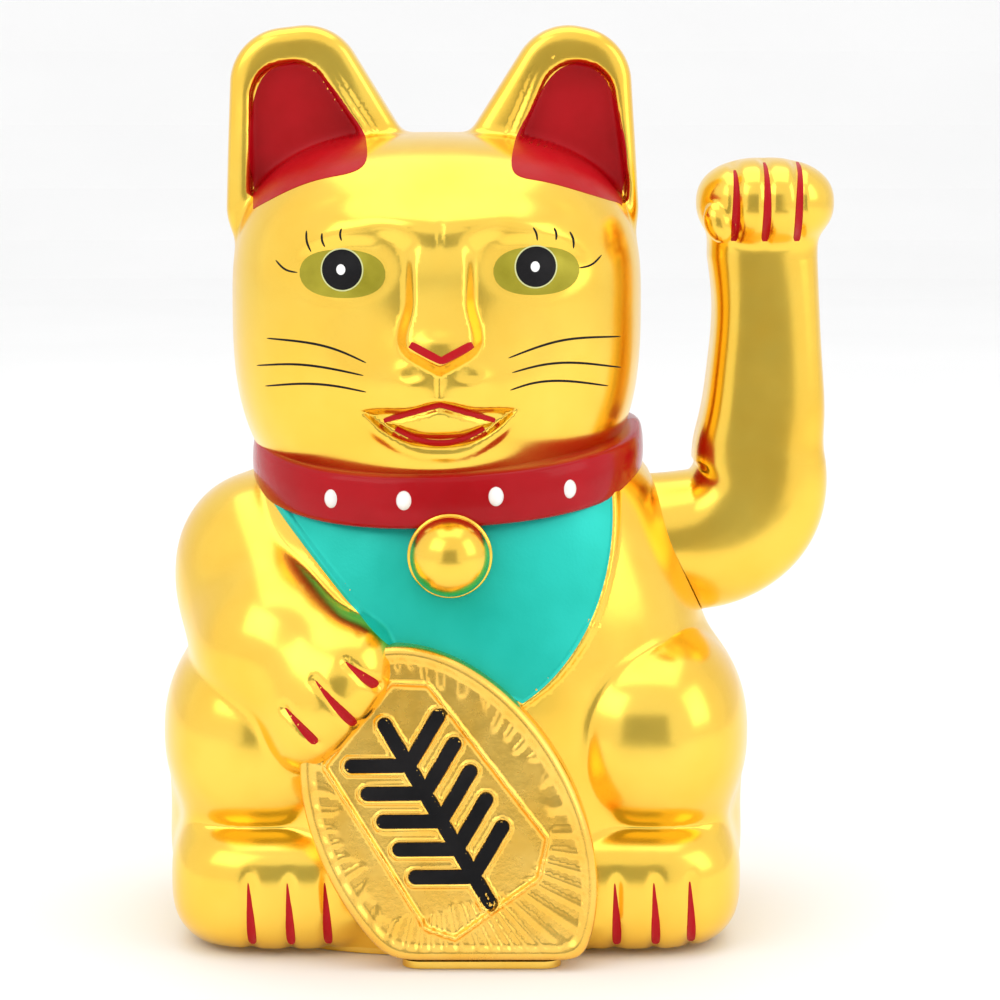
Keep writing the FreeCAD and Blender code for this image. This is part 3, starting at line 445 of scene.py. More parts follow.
def near_blocks(field, low, high, step):
    """Corners, in steps, of the blocks that the surface may pass through."""
    size = BLOCK * step
    counts = [int(math.ceil((h - l) / size)) for l, h in zip(low, high)]
    index = np.stack(np.meshgrid(*[np.arange(c) for c in counts], indexing="ij"), -1).reshape(-1, 3)
    centres = np.array(low) + (index + 0.5) * size
    # Half a block's diagonal, with room for fields that grow faster than the distance.
    reach = 0.87 * size * 1.5 + 1.0
    near = np.abs(evaluate(field, centres)) < reach
    return index[near] * BLOCK


def mesh_field(field, low, high, step):
    """Vertices and four-sided faces of the surface where the field is zero, a vertex in each crossed cell."""
    low = np.array(low, float)
    corners = near_blocks(field, low, high, step)
    ladder = np.arange(BLOCK + 1)
    local = np.stack(np.meshgrid(ladder, ladder, ladder, indexing="ij"), -1).reshape(-1, 3)
    lattice = (corners[:, None, :] + local[None]).reshape(-1, 3)
    values = evaluate(field, low + lattice * step).reshape(-1, BLOCK + 1, BLOCK + 1, BLOCK + 1)
    inside = values < 0.0

    def part(array, shift):
        return array[:, shift[0] : shift[0] + BLOCK, shift[1] : shift[1] + BLOCK, shift[2] : shift[2] + BLOCK]

    steps = [(i, j, k) for i in (0, 1) for j in (0, 1) for k in (0, 1)]
    total = sum(part(inside, s).astype(np.int8) for s in steps)
    active = (total > 0) & (total < 8)
    where = np.argwhere(active)
    places = np.zeros((len(where), 3))
    hits = np.zeros(len(where))
    for a in steps:
        for axis in range(3):
            if a[axis]:
                continue
            b = tuple(1 if i == axis else a[i] for i in range(3))
            va, vb = part(values, a)[active], part(values, b)[active]
            crossed = (va < 0.0) != (vb < 0.0)
            share = np.where(crossed, va / np.where(crossed, va - vb, 1.0), 0.0)
            start, end = np.array(a, float), np.array(b, float)
            point = start[None] + share[:, None] * (end - start)[None]
            places += np.where(crossed[:, None], point, 0.0)
            hits += crossed
    cells = corners[where[:, 0]] + where[:, 1:]
    vertices = low + (cells + places / hits[:, None]) * step

    def key(c):
        return (c[:, 0] * 4096 + c[:, 1]) * 4096 + c[:, 2]

    keys = key(cells)
    order = np.argsort(keys)
    ordered = keys[order]
    quads = []
    for axis in range(3):
        ahead = tuple(1 if i == axis else 0 for i in range(3))
        first, second = part(inside, (0, 0, 0)), part(inside, ahead)
        crossing = np.argwhere(first != second)
        point = corners[crossing[:, 0]] + crossing[:, 1:]
        starts_inside = first[tuple(crossing.T)]
        a, b = (axis + 1) % 3, (axis + 2) % 3
        ring = []
        for da, db in ((0, 0), (1, 0), (1, 1), (0, 1)):
            cell = point.copy()
            cell[:, a] -= da
            cell[:, b] -= db
            wanted = key(cell)
            found = np.clip(np.searchsorted(ordered, wanted), 0, len(ordered) - 1)
            ring.append(np.where(ordered[found] == wanted, order[found], -1))
        ring = np.stack(ring, 1)
        ring = np.where(starts_inside[:, None], ring, ring[:, ::-1])
        quads.append(ring[(ring >= 0).all(1)])
    quads = np.concatenate(quads)
    for _ in range(4):
        slope = gradient(field, vertices)
        value = evaluate(field, vertices)
        move = value / np.maximum((slope**2).sum(1), 0.05)
        vertices = vertices - np.clip(move, -0.5 * step, 0.5 * step)[:, None] * slope
    return vertices, quads


def triangulate(vertices, quads):
    a, b, c, d = vertices[quads].transpose(1, 0, 2)
    short = ((a - c) ** 2).sum(1) <= ((b - d) ** 2).sum(1)
    first = np.where(short[:, None], quads[:, [0, 1, 2]], quads[:, [0, 1, 3]])
    second = np.where(short[:, None], quads[:, [0, 2, 3]], quads[:, [1, 2, 3]])
    return np.concatenate([first, second])


def cut(vertices, triangles, kinds, field, snap):
    """Keeps the part of a triangle mesh where field is below zero. kinds has a number for each triangle."""
    value = evaluate(field, vertices)
    near = np.abs(value) < snap
    vertices = vertices.copy()
    vertices[near] -= value[near, None] * unit(gradient(field, vertices[near]))
    value[near] = 0.0
    sign = np.sign(value).astype(int)
    corner = sign[triangles]
    whole = (corner <= 0).all(1) & (corner < 0).any(1)
    split = (corner > 0).any(1) & (corner < 0).any(1)
    kept, kept_kinds = [triangles[whole]], [kinds[whole]]
    faces, face_kinds, corner = triangles[split], kinds[split], corner[split]
    edges = np.concatenate([faces[:, [0, 1]], faces[:, [1, 2]], faces[:, [2, 0]]])
    edges = np.sort(edges, 1)
    edges, inverse = np.unique(edges, axis=0, return_inverse=True)
    inverse = inverse.reshape(3, -1).T
    crossed = sign[edges[:, 0]] * sign[edges[:, 1]] < 0
    number = np.full(len(edges), -1)
    number[crossed] = len(vertices) + np.arange(crossed.sum())
    start, end = edges[crossed].T
    share = value[start] / (value[start] - value[end])
    crossings = vertices[start] + share[:, None] * (vertices[end] - vertices[start])
    vertices = np.concatenate([vertices, crossings])
    on_edge = number[inverse]
    for turn in range(3):
        i, j, k = turn, (turn + 1) % 3, (turn + 2) % 3
        a, b, c = faces[:, i], faces[:, j], faces[:, k]
        sa, sb, sc = corner[:, i], corner[:, j], corner[:, k]
        ab, bc, ca = on_edge[:, i], on_edge[:, j], on_edge[:, k]
        cases = [
            ((sa < 0) & (sb < 0) & (sc > 0), (a, b, bc)),
            ((sa < 0) & (sb < 0) & (sc > 0), (a, bc, ca)),
            ((sa < 0) & (sb > 0) & (sc > 0), (a, ab, ca)),
            ((sa < 0) & (sb == 0) & (sc > 0), (a, b, ca)),
            ((sa < 0) & (sb > 0) & (sc == 0), (a, ab, c)),
        ]
        for chosen, corners in cases:
            kept.append(np.stack(corners, 1)[chosen])
            kept_kinds.append(face_kinds[chosen])
    return vertices, np.concatenate(kept), np.concatenate(kept_kinds)


def rim_loops(triangles):
    """The open edges of a mesh as loops of vertex numbers, in the direction of its faces."""
    edges = np.concatenate([triangles[:, [0, 1]], triangles[:, [1, 2]], triangles[:, [2, 0]]])
    big = int(triangles.max()) + 1
    forward, backward = edges[:, 0] * big + edges[:, 1], edges[:, 1] * big + edges[:, 0]
    alone = edges[~np.isin(forward, backward)]
    following = {}
    for a, b in alone.tolist():
        following.setdefault(a, []).append(b)
    loops = []
    while following:
        start = next(iter(following))
        loop, here = [start], start
        while True:
            ahead = following[here].pop()
            if not following[here]:
                del following[here]
            if ahead == start or ahead not in following:
                break
            loop.append(ahead)
            here = ahead
        if len(loop) > 2:
            loops.append(loop)
    return loops


def shoelace(points):
    ahead = np.roll(points, -1, axis=0)
    return 0.5 * float((points[:, 0] * ahead[:, 1] - points[:, 1] * ahead[:, 0]).sum())


def holds(outline, point):
    """Whether a flat outline goes round a point."""
    ahead = np.roll(outline, -1, axis=0)
    spans = (outline[:, 1] > point[1]) != (ahead[:, 1] > point[1])
    rise = np.where(spans, ahead[:, 1] - outline[:, 1], 1.0)
    crossing = outline[:, 0] + (point[1] - outline[:, 1]) / rise * (ahead[:, 0] - outline[:, 0])
    return bool((spans & (crossing > point[0])).sum() % 2)


def cap(vertices, triangles, kinds, axis, facing, kind):
    """Closes the open edges, all in one plane square to axis, with flat faces that look along facing."""
    loops = rim_loops(triangles)
    across = [i for i in range(3) if i != axis]
    flat = [vertices[loop][:, across] for loop in loops]
    size = [shoelace(points) for points in flat]
    way = np.sign(size[int(np.argmax(np.abs(size)))])
    faces = []
    for number, area in enumerate(size):
        if area * way <= 0.0:
            continue
        holes = [k for k, other in enumerate(size) if other * way < 0.0 and holds(flat[number], flat[k][0])]
        group = [number, *holes]
        rings = [[Vector((p[0], p[1], 0.0)) for p in flat[k]] for k in group]
        numbers = np.array([i for k in group for i in loops[k]])
        faces.append(numbers[np.array(tessellate_polygon(rings), int)])
    faces = np.concatenate(faces)
    a, b, c = vertices[faces].transpose(1, 0, 2)
    normal = np.cross(b - a, c - a)[:, axis] * facing
    faces = np.where((normal > 0.0)[:, None], faces, faces[:, ::-1])
    return np.concatenate([triangles, faces]), np.concatenate([kinds, np.full(len(faces), kind)])


def zip_loops(vertices, outer, inner, axis_y, axis_z):
    """Faces of a tube between two loops around an axis along X."""

    def sorted_by_angle(loop):
        points = vertices[loop]
        angle = np.arctan2(points[:, 2] - axis_z, points[:, 1] - axis_y)
        order = np.argsort(angle)
        return np.array(loop)[order], angle[order]

    def next_angle(angles, i):
        if i + 1 < len(angles):
            return angles[i + 1]
        return angles[0] + 2.0 * math.pi if i < len(angles) else 99.0

    (a, angle_a), (b, angle_b) = sorted_by_angle(outer), sorted_by_angle(inner)
    faces, i, j = [], 0, 0
    while i < len(a) or j < len(b):
        if next_angle(angle_a, i) <= next_angle(angle_b, j):
            faces.append((a[i % len(a)], a[(i + 1) % len(a)], b[j % len(b)]))
            i += 1
        else:
            faces.append((a[i % len(a)], b[(j + 1) % len(b)], b[j % len(b)]))
            j += 1
    return np.array(faces)


OUTSIDE, INSIDE, FLAT = 0, 1, 2


def make_piece(name, vertices, triangles, kinds, outside, inside, material):
    """One closed piece. Curved faces take their normals from the fields, so that reflections run smoothly."""
    used, compact = np.unique(triangles, return_inverse=True)
    vertices, triangles = vertices[used], compact.reshape(-1, 3)
    a, b, c = vertices[triangles].transpose(1, 0, 2)
    normals = np.zeros((len(triangles), 3, 3))
    flat = np.repeat(unit(np.cross(b - a, c - a))[:, None, :], 3, 1)
    normals[:] = flat
    slope = unit(gradient(outside, vertices))
    normals[kinds == OUTSIDE] = slope[triangles[kinds == OUTSIDE]]
    if inside is not None:
        slope = -unit(gradient(inside, vertices))
        normals[kinds == INSIDE] = slope[triangles[kinds == INSIDE]]
    wrong = (normals * flat).sum(2) < 0.1
    normals[wrong] = flat[wrong]
    mesh = bpy.data.meshes.new(name)
    mesh.vertices.add(len(vertices))
    mesh.vertices.foreach_set("co", (vertices * MM).astype(np.float32).ravel())
    mesh.loops.add(3 * len(triangles))
    mesh.loops.foreach_set("vertex_index", triangles.astype(np.int32).ravel())
    mesh.polygons.add(len(triangles))
    mesh.polygons.foreach_set("loop_start", np.arange(0, 3 * len(triangles), 3, dtype=np.int32))
    mesh.update(calc_edges=True)
    mesh.polygons.foreach_set("use_smooth", np.ones(len(triangles), bool))
    mesh.normals_split_custom_set(normals.reshape(-1, 3).tolist())
    mesh.materials.append(material)
    obj = bpy.data.objects.new(name, mesh)
    bpy.context.scene.collection.objects.link(obj)
    return obj


def solid_from_field(name, field, low, high, step, material):
    """A closed piece with no hollow."""
    vertices, quads = mesh_field(field, low, high, step)
    triangles = triangulate(vertices, quads)
    return make_piece(name, vertices, triangles, np.zeros(len(triangles), int), field, None, material)


def project_to_front(field, x, z, start):
    """Points of the surface met first when looking along +Y, with their outward normals."""
    points = np.stack([x, np.full(np.shape(x), float(start)), z], -1).reshape(-1, 3)
    for _ in range(45):
        points[:, 1] += 0.7 * evaluate(field, points)
    for _ in range(3):
        slope = gradient(field, points)
        points[:, 1] -= np.clip(evaluate(field, points) / np.minimum(slope[:, 1], -0.2), -0.3, 0.3)
    return points, unit(gradient(field, points))


def painted(name, first, second, rows, columns, field, start, material, body, slot, lift=PAINT_LIFT):
    """A thin coat of paint between two edges, which give (x, z) for every share of the way along."""
    s = np.linspace(0.0, 1.0, rows + 1)
    t = np.linspace(0.0, 1.0, columns + 1)[None, :, None]
    one, two = np.stack(first(s), -1)[:, None, :], np.stack(second(s), -1)[:, None, :]
    flat = one * (1.0 - t) + two * t
    points, normals = project_to_front(field, flat[..., 0].ravel(), flat[..., 1].ravel(), start)
    count = len(points)
    vertices = np.concatenate([points + normals * lift, points - normals * PAINT_DEPTH])
    number = np.arange(count).reshape(rows + 1, columns + 1)
    quads = np.stack([number[:-1, :-1], number[:-1, 1:], number[1:, 1:], number[1:, :-1]], -1).reshape(-1, 4)
    a, b, c = (vertices[quads[:, i]] for i in range(3))
    facing = (np.cross(b - a, c - a) * normals[quads[:, 0]]).sum()
    if facing < 0.0:
        quads = quads[:, ::-1]
    around = np.concatenate([number[0, :], number[1:, -1], number[-1, -2::-1], number[-2:0:-1, 0]])
    if facing > 0.0:
        around = around[::-1]
    ahead = np.roll(around, -1)
    sides = np.stack([around, ahead, ahead + count, around + count], -1)
    faces = np.concatenate([quads, quads[:, ::-1] + count, sides])
    triangles = np.concatenate([faces[:, [0, 1, 2]], faces[:, [0, 2, 3]]])
    kinds = np.full(len(faces), FLAT)
    kinds[: len(quads)] = OUTSIDE
    obj = make_piece(name, vertices, triangles, np.concatenate([kinds, kinds]), field, None, material)
    return place(obj, body, slot)


def smooth_path(points):
    """(x, z) along a smooth curve through the points, for shares of the way from 0 to 1."""
    points = np.array(points, float)
    length = np.concatenate([[0.0], np.cumsum(np.linalg.norm(np.diff(points, axis=0), axis=1))])
    x = Curve(list(zip(length / length[-1], points[:, 0])))
    z = Curve(list(zip(length / length[-1], points[:, 1])))
    return lambda s: (x(s), z(s))


def stroke(name, points, width, field, start, material, body, slot, taper=0.25, lift=PAINT_LIFT, swell=0.0):
    """A painted line that narrows at its ends. With swell it also grows wider along its length."""
    path = smooth_path(points)

    def edge(side):
        def at(s):
            x, z = path(s)
            ax, az = path(np.clip(s - 0.01, 0.0, 1.0))
            bx, bz = path(np.clip(s + 0.01, 0.0, 1.0))
            size = np.hypot(bx - ax, bz - az)
            half = 0.5 * width * (taper + (1.0 - taper) * np.clip(4.0 * s * (1.0 - s), 0.0, 1.0) ** 0.35)
            half = half * (1.0 - swell * (1.0 - s))
            return x - side * half * (bz - az) / size, z + side * half * (bx - ax) / size

        return at

    span = sum(math.dist(p, q) for p, q in zip(points, points[1:]))
    rows = max(8, int(span / 0.6))
    columns = max(2, int(width / 0.5))
    return painted(name, edge(1.0), edge(-1.0), rows, columns, field, start, material, body, slot, lift)


def place(obj, body, slot, *nodes):
    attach(obj, body)
    if nodes:
        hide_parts(*nodes)
    return obj


# ---------------------------------------------------------------- materials
def new_material(name):
    material = bpy.data.materials.new(name)
    material.use_nodes = True
    nodes, links = material.node_tree.nodes, material.node_tree.links
    return material, nodes, links, nodes["Principled BSDF"]


def noise_value(nodes, links, scale, detail, low, high):
    """A number that wanders between low and high over the surface."""
    place_node = nodes.new("ShaderNodeTexCoord")
    noise = nodes.new("ShaderNodeTexNoise")
    noise.inputs["Scale"].default_value = scale
    noise.inputs["Detail"].default_value = detail
    noise.inputs["Roughness"].default_value = 0.55
    spread = nodes.new("ShaderNodeMapRange")
    spread.inputs["From Min"].default_value = 0.35
    spread.inputs["From Max"].default_value = 0.65
    spread.inputs["To Min"].default_value = low
    spread.inputs["To Max"].default_value = high
    links.new(place_node.outputs["Object"], noise.inputs["Vector"])
    links.new(noise.outputs["Fac"], spread.inputs["Value"])
    return spread.outputs["Result"]


def mix_colours(nodes, links, share, first, second):
    mix = nodes.new("ShaderNodeMix")
    mix.data_type = "RGBA"
    mix.inputs[6].default_value = (*first, 1.0)
    mix.inputs[7].default_value = (*second, 1.0)
    links.new(share, mix.inputs[0])
    return mix.outputs[2]


def add_bump(nodes, links, shader, height, strength, distance):
    bump_node = nodes.new("ShaderNodeBump")
    bump_node.inputs["Strength"].default_value = strength
    bump_node.inputs["Distance"].default_value = distance
    links.new(height, bump_node.inputs["Height"])
    links.new(bump_node.outputs["Normal"], shader.inputs["Normal"])


def finish_material(name, first, second, metallic, rough, coat=0.0, patch=60.0, grain=900.0,
                    relief=0.00002, shine=0.5):
    """A finish whose colour drifts between two tones, with uneven gloss and a fine grain."""
    material, nodes, links, shader = new_material(name)
    share = noise_value(nodes, links, patch, 3.0, 0.0, 1.0)
    links.new(mix_colours(nodes, links, share, first, second), shader.inputs["Base Color"])
    links.new(noise_value(nodes, links, 2.3 * patch, 4.0, *rough), shader.inputs["Roughness"])
    shader.inputs["Metallic"].default_value = metallic
    shader.inputs["Specular IOR Level"].default_value = shine
    shader.inputs["Coat Weight"].default_value = coat
    shader.inputs["Coat Roughness"].default_value = 0.06
    add_bump(nodes, links, shader, noise_value(nodes, links, grain, 2.0, 0.0, 1.0), 0.5, relief)
    return material


# Each finish: two tones, how metallic, roughness from and to, coat, scale of the patches, scale of the
# grain, height of the grain, and shine.
FINISHES = {
    "gold_mirror": ((0.97, 0.60, 0.075), (0.98, 0.66, 0.10), 1.0, (0.19, 0.24), 0.0, 40.0, 260.0, 0.00001),
    "gold_satin": ((0.95, 0.55, 0.085), (1.0, 0.63, 0.13), 1.0, (0.22, 0.3), 0.0, 90.0, 900.0, 0.00002),
    "red_lacquer": ((0.36, 0.001, 0.004), (0.44, 0.002, 0.008), 0.0, (0.12, 0.2),
                    0.0, 50.0, 500.0, 0.00001, 0.22),
    "red_paint": ((0.42, 0.001, 0.004), (0.49, 0.002, 0.008), 0.0, (0.32, 0.44),
                  0.0, 70.0, 900.0, 0.00002, 0.2),
    "black_paint": ((0.004, 0.004, 0.005), (0.010, 0.009, 0.010), 0.0, (0.4, 0.55),
                    0.0, 80.0, 900.0, 0.00002, 0.15),
    "white_paint": ((0.86, 0.85, 0.82), (0.93, 0.92, 0.90), 0.0, (0.2, 0.3), 0.3, 120.0, 700.0),
    "eye_olive": ((0.34, 0.29, 0.01), (0.42, 0.36, 0.02), 0.45, (0.28, 0.38), 0.0, 120.0, 900.0),
    "eye_ring": ((0.60, 0.62, 0.26), (0.66, 0.68, 0.32), 0.0, (0.3, 0.4), 0.0, 120.0, 900.0),
    "teal_pearl": ((0.01, 0.50, 0.40), (0.02, 0.60, 0.50), 0.3, (0.28, 0.38),
                   0.0, 35.0, 1300.0, 0.00002, 0.25),
    "gold_moulding": ((0.95, 0.62, 0.10), (1.0, 0.70, 0.14), 1.0, (0.14, 0.22), 0.0, 60.0, 700.0),
    "white_moulding": ((0.70, 0.69, 0.64), (0.78, 0.77, 0.72), 0.0, (0.42, 0.55)),
    "black_moulding": ((0.02, 0.02, 0.02), (0.035, 0.035, 0.035), 0.0, (0.4, 0.55)),
    "steel": ((0.48, 0.48, 0.49), (0.60, 0.60, 0.61), 1.0, (0.22, 0.38), 0.0, 200.0, 1800.0),
    "nickel": ((0.62, 0.60, 0.57), (0.70, 0.68, 0.65), 1.0, (0.14, 0.24), 0.0, 200.0, 1500.0),
    "copper": ((0.62, 0.20, 0.06), (0.74, 0.28, 0.10), 1.0, (0.22, 0.34), 0.3, 300.0, 2500.0, 0.00006),
    "board": ((0.30, 0.18, 0.05), (0.38, 0.24, 0.08), 0.0, (0.45, 0.6), 0.1, 200.0, 1800.0),
    "component": ((0.018, 0.018, 0.02), (0.03, 0.03, 0.034), 0.0, (0.4, 0.55)),
    "resistor": ((0.55, 0.36, 0.15), (0.62, 0.42, 0.20), 0.0, (0.3, 0.4), 0.3),
    "cell_jacket": ((0.012, 0.03, 0.07), (0.02, 0.04, 0.09), 0.2, (0.2, 0.3), 0.4),
    "wire_red": ((0.45, 0.01, 0.01), (0.52, 0.016, 0.014), 0.0, (0.4, 0.5), 0.1, 300.0, 1500.0),
    "wire_black": ((0.012, 0.012, 0.012), (0.022, 0.022, 0.022), 0.0, (0.4, 0.5), 0.1, 300.0, 1500.0),
    "floor": ((0.92, 0.92, 0.92), (0.94, 0.94, 0.94), 0.0, (0.6, 0.7), 0.0, 3.0, 200.0),
    "card": ((0.36, 0.38, 0.36), (0.42, 0.44, 0.42), 0.0, (0.8, 0.9), 0.0, 6.0, 200.0),
}
FINISH = {name: finish_material(name, *values) for name, values in FINISHES.items()}

# The finish of every slot in the record.
SLOT_FINISH = {
    "shell_gold": "gold_mirror", "plaque_gold": "gold_satin", "collar_red": "red_lacquer",
    "stud_white": "white_paint", "bib_teal": "teal_pearl", "paint_red": "red_paint",
    "paint_black": "black_paint", "base_gold": "gold_moulding", "door_gold": "gold_moulding",
    "moulding_white": "white_moulding", "moulding_black": "black_moulding", "steel": "steel",
    "magnet_steel": "nickel", "spring_steel": "nickel", "copper_wire": "copper", "board": "board",
    "component_body": "component", "resistor_body": "resistor", "cell_jacket": "cell_jacket",
    "wire_red": "wire_red", "wire_black": "wire_black",
}


# ---------------------------------------------------------------- shells
def skin(field, low, high, step, kind):
    """The surface of a field. Where kind is INSIDE its faces look into the hollow."""
    vertices, quads = mesh_field(field, low, high, step)
    triangles = triangulate(vertices, quads[:, ::-1] if kind == INSIDE else quads)
    return vertices, triangles, np.full(len(triangles), kind)


def joined(one, two):
    """Two meshes, each with its vertices, triangles and kinds, as one."""
    triangles = np.concatenate([one[1], two[1] + len(one[0])])
    return np.concatenate([one[0], two[0]]), triangles, np.concatenate([one[2], two[2]])


def seam_halves(vertices, faces, kinds, seam, snap):
    """A hollow body cut along an upright seam into a front and a rear half, closed by flat faces there."""
    halves = []
    for side in (1.0, -1.0):
        edge = seam - side * SEAM_GAP

        def beyond(x, y, z, side=side, edge=edge):
            return side * (y - edge)

        half = cut(vertices, faces, kinds, beyond, snap)
        halves.append((half[0], *cap(*half, 1, side, FLAT)))
    return halves


def fit_direction(vertices, faces, neighbours):
    """Turns new faces over if they run against the faces that they join."""
    edges = np.concatenate([neighbours[:, [0, 1]], neighbours[:, [1, 2]], neighbours[:, [2, 0]]])
    own = np.concatenate([faces[:, [0, 1]], faces[:, [1, 2]], faces[:, [2, 0]]])
    big = len(vertices)
    known = edges[:, 0] * big + edges[:, 1]
    same = np.isin(own[:, 0] * big + own[:, 1], known).sum()
    against = np.isin(own[:, 1] * big + own[:, 0], known).sum()
    return faces if against >= same else faces[:, ::-1]


def shell_halves():
    """The gold shell: hollow, open at the shoulder, and flat below."""

    def below(x, y, z):
        return SHELL_BOTTOM - z

    def in_hole(x, y, z):
        return np.where(x > SHOULDER_HOLE_X - 8.0, SHOULDER_HOLE_R - np.hypot(y, z - AXIS_Z), -5.0)

    outer = skin(cat, (-70.0, -62.0, -6.0), (70.0, 56.0, 204.0), SHELL_STEP, OUTSIDE)
    inner = skin(cat_inside, (-68.0, -60.0, -6.0), (68.0, 54.0, 202.0), INNER_STEP, INSIDE)
    outer = cut(*outer, below, SNAP * SHELL_STEP)
    inner = cut(*inner, below, SNAP * INNER_STEP)
    vertices, faces, kinds = joined(outer, inner)
    faces, kinds = cap(vertices, faces, kinds, 2, -1.0, FLAT)
    vertices, faces, kinds = cut(vertices, faces, kinds, in_hole, 0.1 * SHELL_STEP)
    # A tube through the wall joins the outer and the inner edge of the shoulder opening.
    loops = sorted(rim_loops(faces), key=lambda loop: -len(loop))[:2]
    loops.sort(key=lambda loop: -np.abs(vertices[loop, 0]).mean())
    tube = zip_loops(vertices, loops[0], loops[1], 0.0, AXIS_Z)
    faces = np.concatenate([faces, fit_direction(vertices, tube, faces)])
    kinds = np.concatenate([kinds, np.full(len(tube), FLAT)])
    return seam_halves(vertices, faces, kinds, SEAM_Y, SNAP * SHELL_STEP)


def arm_halves():
    """The raised arm: hollow, with a flat wall where it enters the shoulder."""
    low, high = (36.0, -22.0, 66.0), (88.0, 22.0, 176.0)
    parts = []
    for field, step, kind, start, facing in (
        (arm, ARM_STEP, OUTSIDE, ARM_START_X, -1.0),
        (arm_inside, 2.0 * ARM_STEP, INSIDE, ARM_START_X + ARM_WALL, 1.0),
    ):

        def below(x, y, z, start=start):
            return start - x

        part = cut(*skin(field, low, high, step, kind), below, 0.1)
        parts.append((part[0], *cap(*part, 0, facing, FLAT)))
    return seam_halves(*joined(*parts), ARM_SEAM_Y, SNAP * ARM_STEP)


GOLD = FINISH["gold_mirror"]
for name, node, half in zip(("shell_front", "shell_rear"), ("front_shell", "rear_shell"), shell_halves()):
    place(make_piece(name, *half, cat, cat_inside, GOLD), "figurine", "shell_gold", node)
for name, node, half in zip(("arm_front", "arm_rear"), ("arm_front_half", "arm_rear_half"), arm_halves()):
    place(make_piece(name, *half, arm, arm_inside, GOLD), "waving_arm", "shell_gold", node)


# ---------------------------------------------------------------- collar, studs, bell
COLLAR_CENTRE = (-1.8, 0.0, 104.1)
COLLAR_WIDE = 42.8
COLLAR_FRONT = 43.6
COLLAR_REAR = 40.5
COLLAR_POWER = 2.25
COLLAR_HALF_THICK = 4.4
COLLAR_TALL = 11.6
COLLAR_TILT = math.tan(math.radians(6.5))


def collar_height(x, y):
    """Height of the collar's middle: it rises to the back and, a little, to its two ends."""
    across = (x - COLLAR_CENTRE[0]) / COLLAR_WIDE
    rise = np.where(across < 0.0, 2.2, 0.8)
    lean = COLLAR_TILT * np.where(y < 0.0, y, 0.3 * y)
    return COLLAR_CENTRE[2] + 1.9 * across + lean + rise * np.abs(across) ** 3


def collar(x, y, z):
    u = np.abs(x - COLLAR_CENTRE[0]) / COLLAR_WIDE
    v = np.abs(y) / np.where(y < 0.0, COLLAR_FRONT, COLLAR_REAR)
    q = (u**COLLAR_POWER + v**COLLAR_POWER + 1e-12) ** (1.0 / COLLAR_POWER)
    away = (q - 1.0) * 42.0
    tall = z - collar_height(x, y)
    bulge = 0.9 * np.clip(1.0 - (tall / 6.5) ** 2, 0.0, None)
    band = np.abs(away + COLLAR_HALF_THICK - 0.5 * bulge) - COLLAR_HALF_THICK - 0.5 * bulge
    return smooth_max(band, np.abs(tall) - 0.5 * COLLAR_TALL, 2.4)


collar_band = solid_from_field("collar_band", collar, (-50.0, -50.0, 86.0), (50.0, 46.0, 120.0), 0.8,
                               FINISH["red_lacquer"])
place(collar_band, "figurine", "collar_red", "collar")

STUDS = (-26.4, -11.0, 8.4, 24.0)
STUD_R = 1.75
STUD_REACH = 43.9


def studs(x, y, z):
    shape = None
    for place_x in STUDS:
        place_z = float(collar_height(np.array(place_x), np.array(-40.0))) + 0.3
        q = 1.0 - (abs(place_x - COLLAR_CENTRE[0]) / COLLAR_WIDE) ** COLLAR_POWER
        place_y = -STUD_REACH * q ** (1.0 / COLLAR_POWER)
        one = ellipsoid(x, y, z, (place_x, place_y, place_z), (STUD_R, STUD_R, 1.25 * STUD_R))
        shape = one if shape is None else np.minimum(shape, one)
    return shape


stud_dots = solid_from_field("stud_dots", studs, (-32.0, -50.0, 86.0), (32.0, -30.0, 110.0), 0.4,
                             FINISH["white_paint"])
place(stud_dots, "figurine", "stud_white", "collar_studs")

BELL = (-1.3, -45.6, 87.7)
BELL_R = 8.5


def bell(x, y, z):
    """A ball with a thin lip round it, square to the line of sight from the front."""
    away = np.sqrt((x - BELL[0]) ** 2 + (y - BELL[1]) ** 2 + (z - BELL[2]) ** 2)
    around = np.hypot(x - BELL[0], z - BELL[2])
    rim = smooth_max(around - BELL_R - 0.6, np.abs(y - BELL[1] - 1.5) - 0.6, 0.8)
    return smooth_min(away - BELL_R, rim, 0.5)


bell_ball = solid_from_field("bell_ball", bell, (-12.0, -56.0, 76.0), (10.0, -34.0, 99.0), 0.35, GOLD)
place(bell_ball, "figurine", "shell_gold", "bell")


# ---------------------------------------------------------------- coin plaque
PLAQUE_X = -3.6
PLAQUE_Z = 31.0
PLAQUE_LONG = 41.5
PLAQUE_WIDE = 27.6
PLAQUE_OFFSET = 1.5
PLAQUE_THICK = 12.0
PLAQUE_DOWN = (0.5, -0.866)
# Panel outline, as (along, across) from the plaque's centre.
PANEL = [(-22.0, -13.5), (-29.5, 6.0), (-26.0, 11.5), (13.5, 17.0), (19.0, 12.0), (21.0, -8.5), (17.0, -12.0)]
# Ornament: a stem with pairs of leaves, as bars from one (along, across) point to another.
ORNAMENT = [((-24.0, 0.5), (19.5, 1.0))]
for start in (-14.0, -7.2, -0.4, 6.4, 13.2):
    ORNAMENT += [((start, 0.7), (start - 6.0, 0.7 + side * 10.6)) for side in (-1.0, 1.0)]
BAR = 1.5


def plaque_axes(x, z):
    px, pz = x - PLAQUE_X, z - PLAQUE_Z
    return PLAQUE_DOWN[0] * px + PLAQUE_DOWN[1] * pz, -PLAQUE_DOWN[1] * px + PLAQUE_DOWN[0] * pz


def from_plaque(along, across):
    x = PLAQUE_X + PLAQUE_DOWN[0] * along - PLAQUE_DOWN[1] * across
    z = PLAQUE_Z + PLAQUE_DOWN[1] * along + PLAQUE_DOWN[0] * across
    return x, z


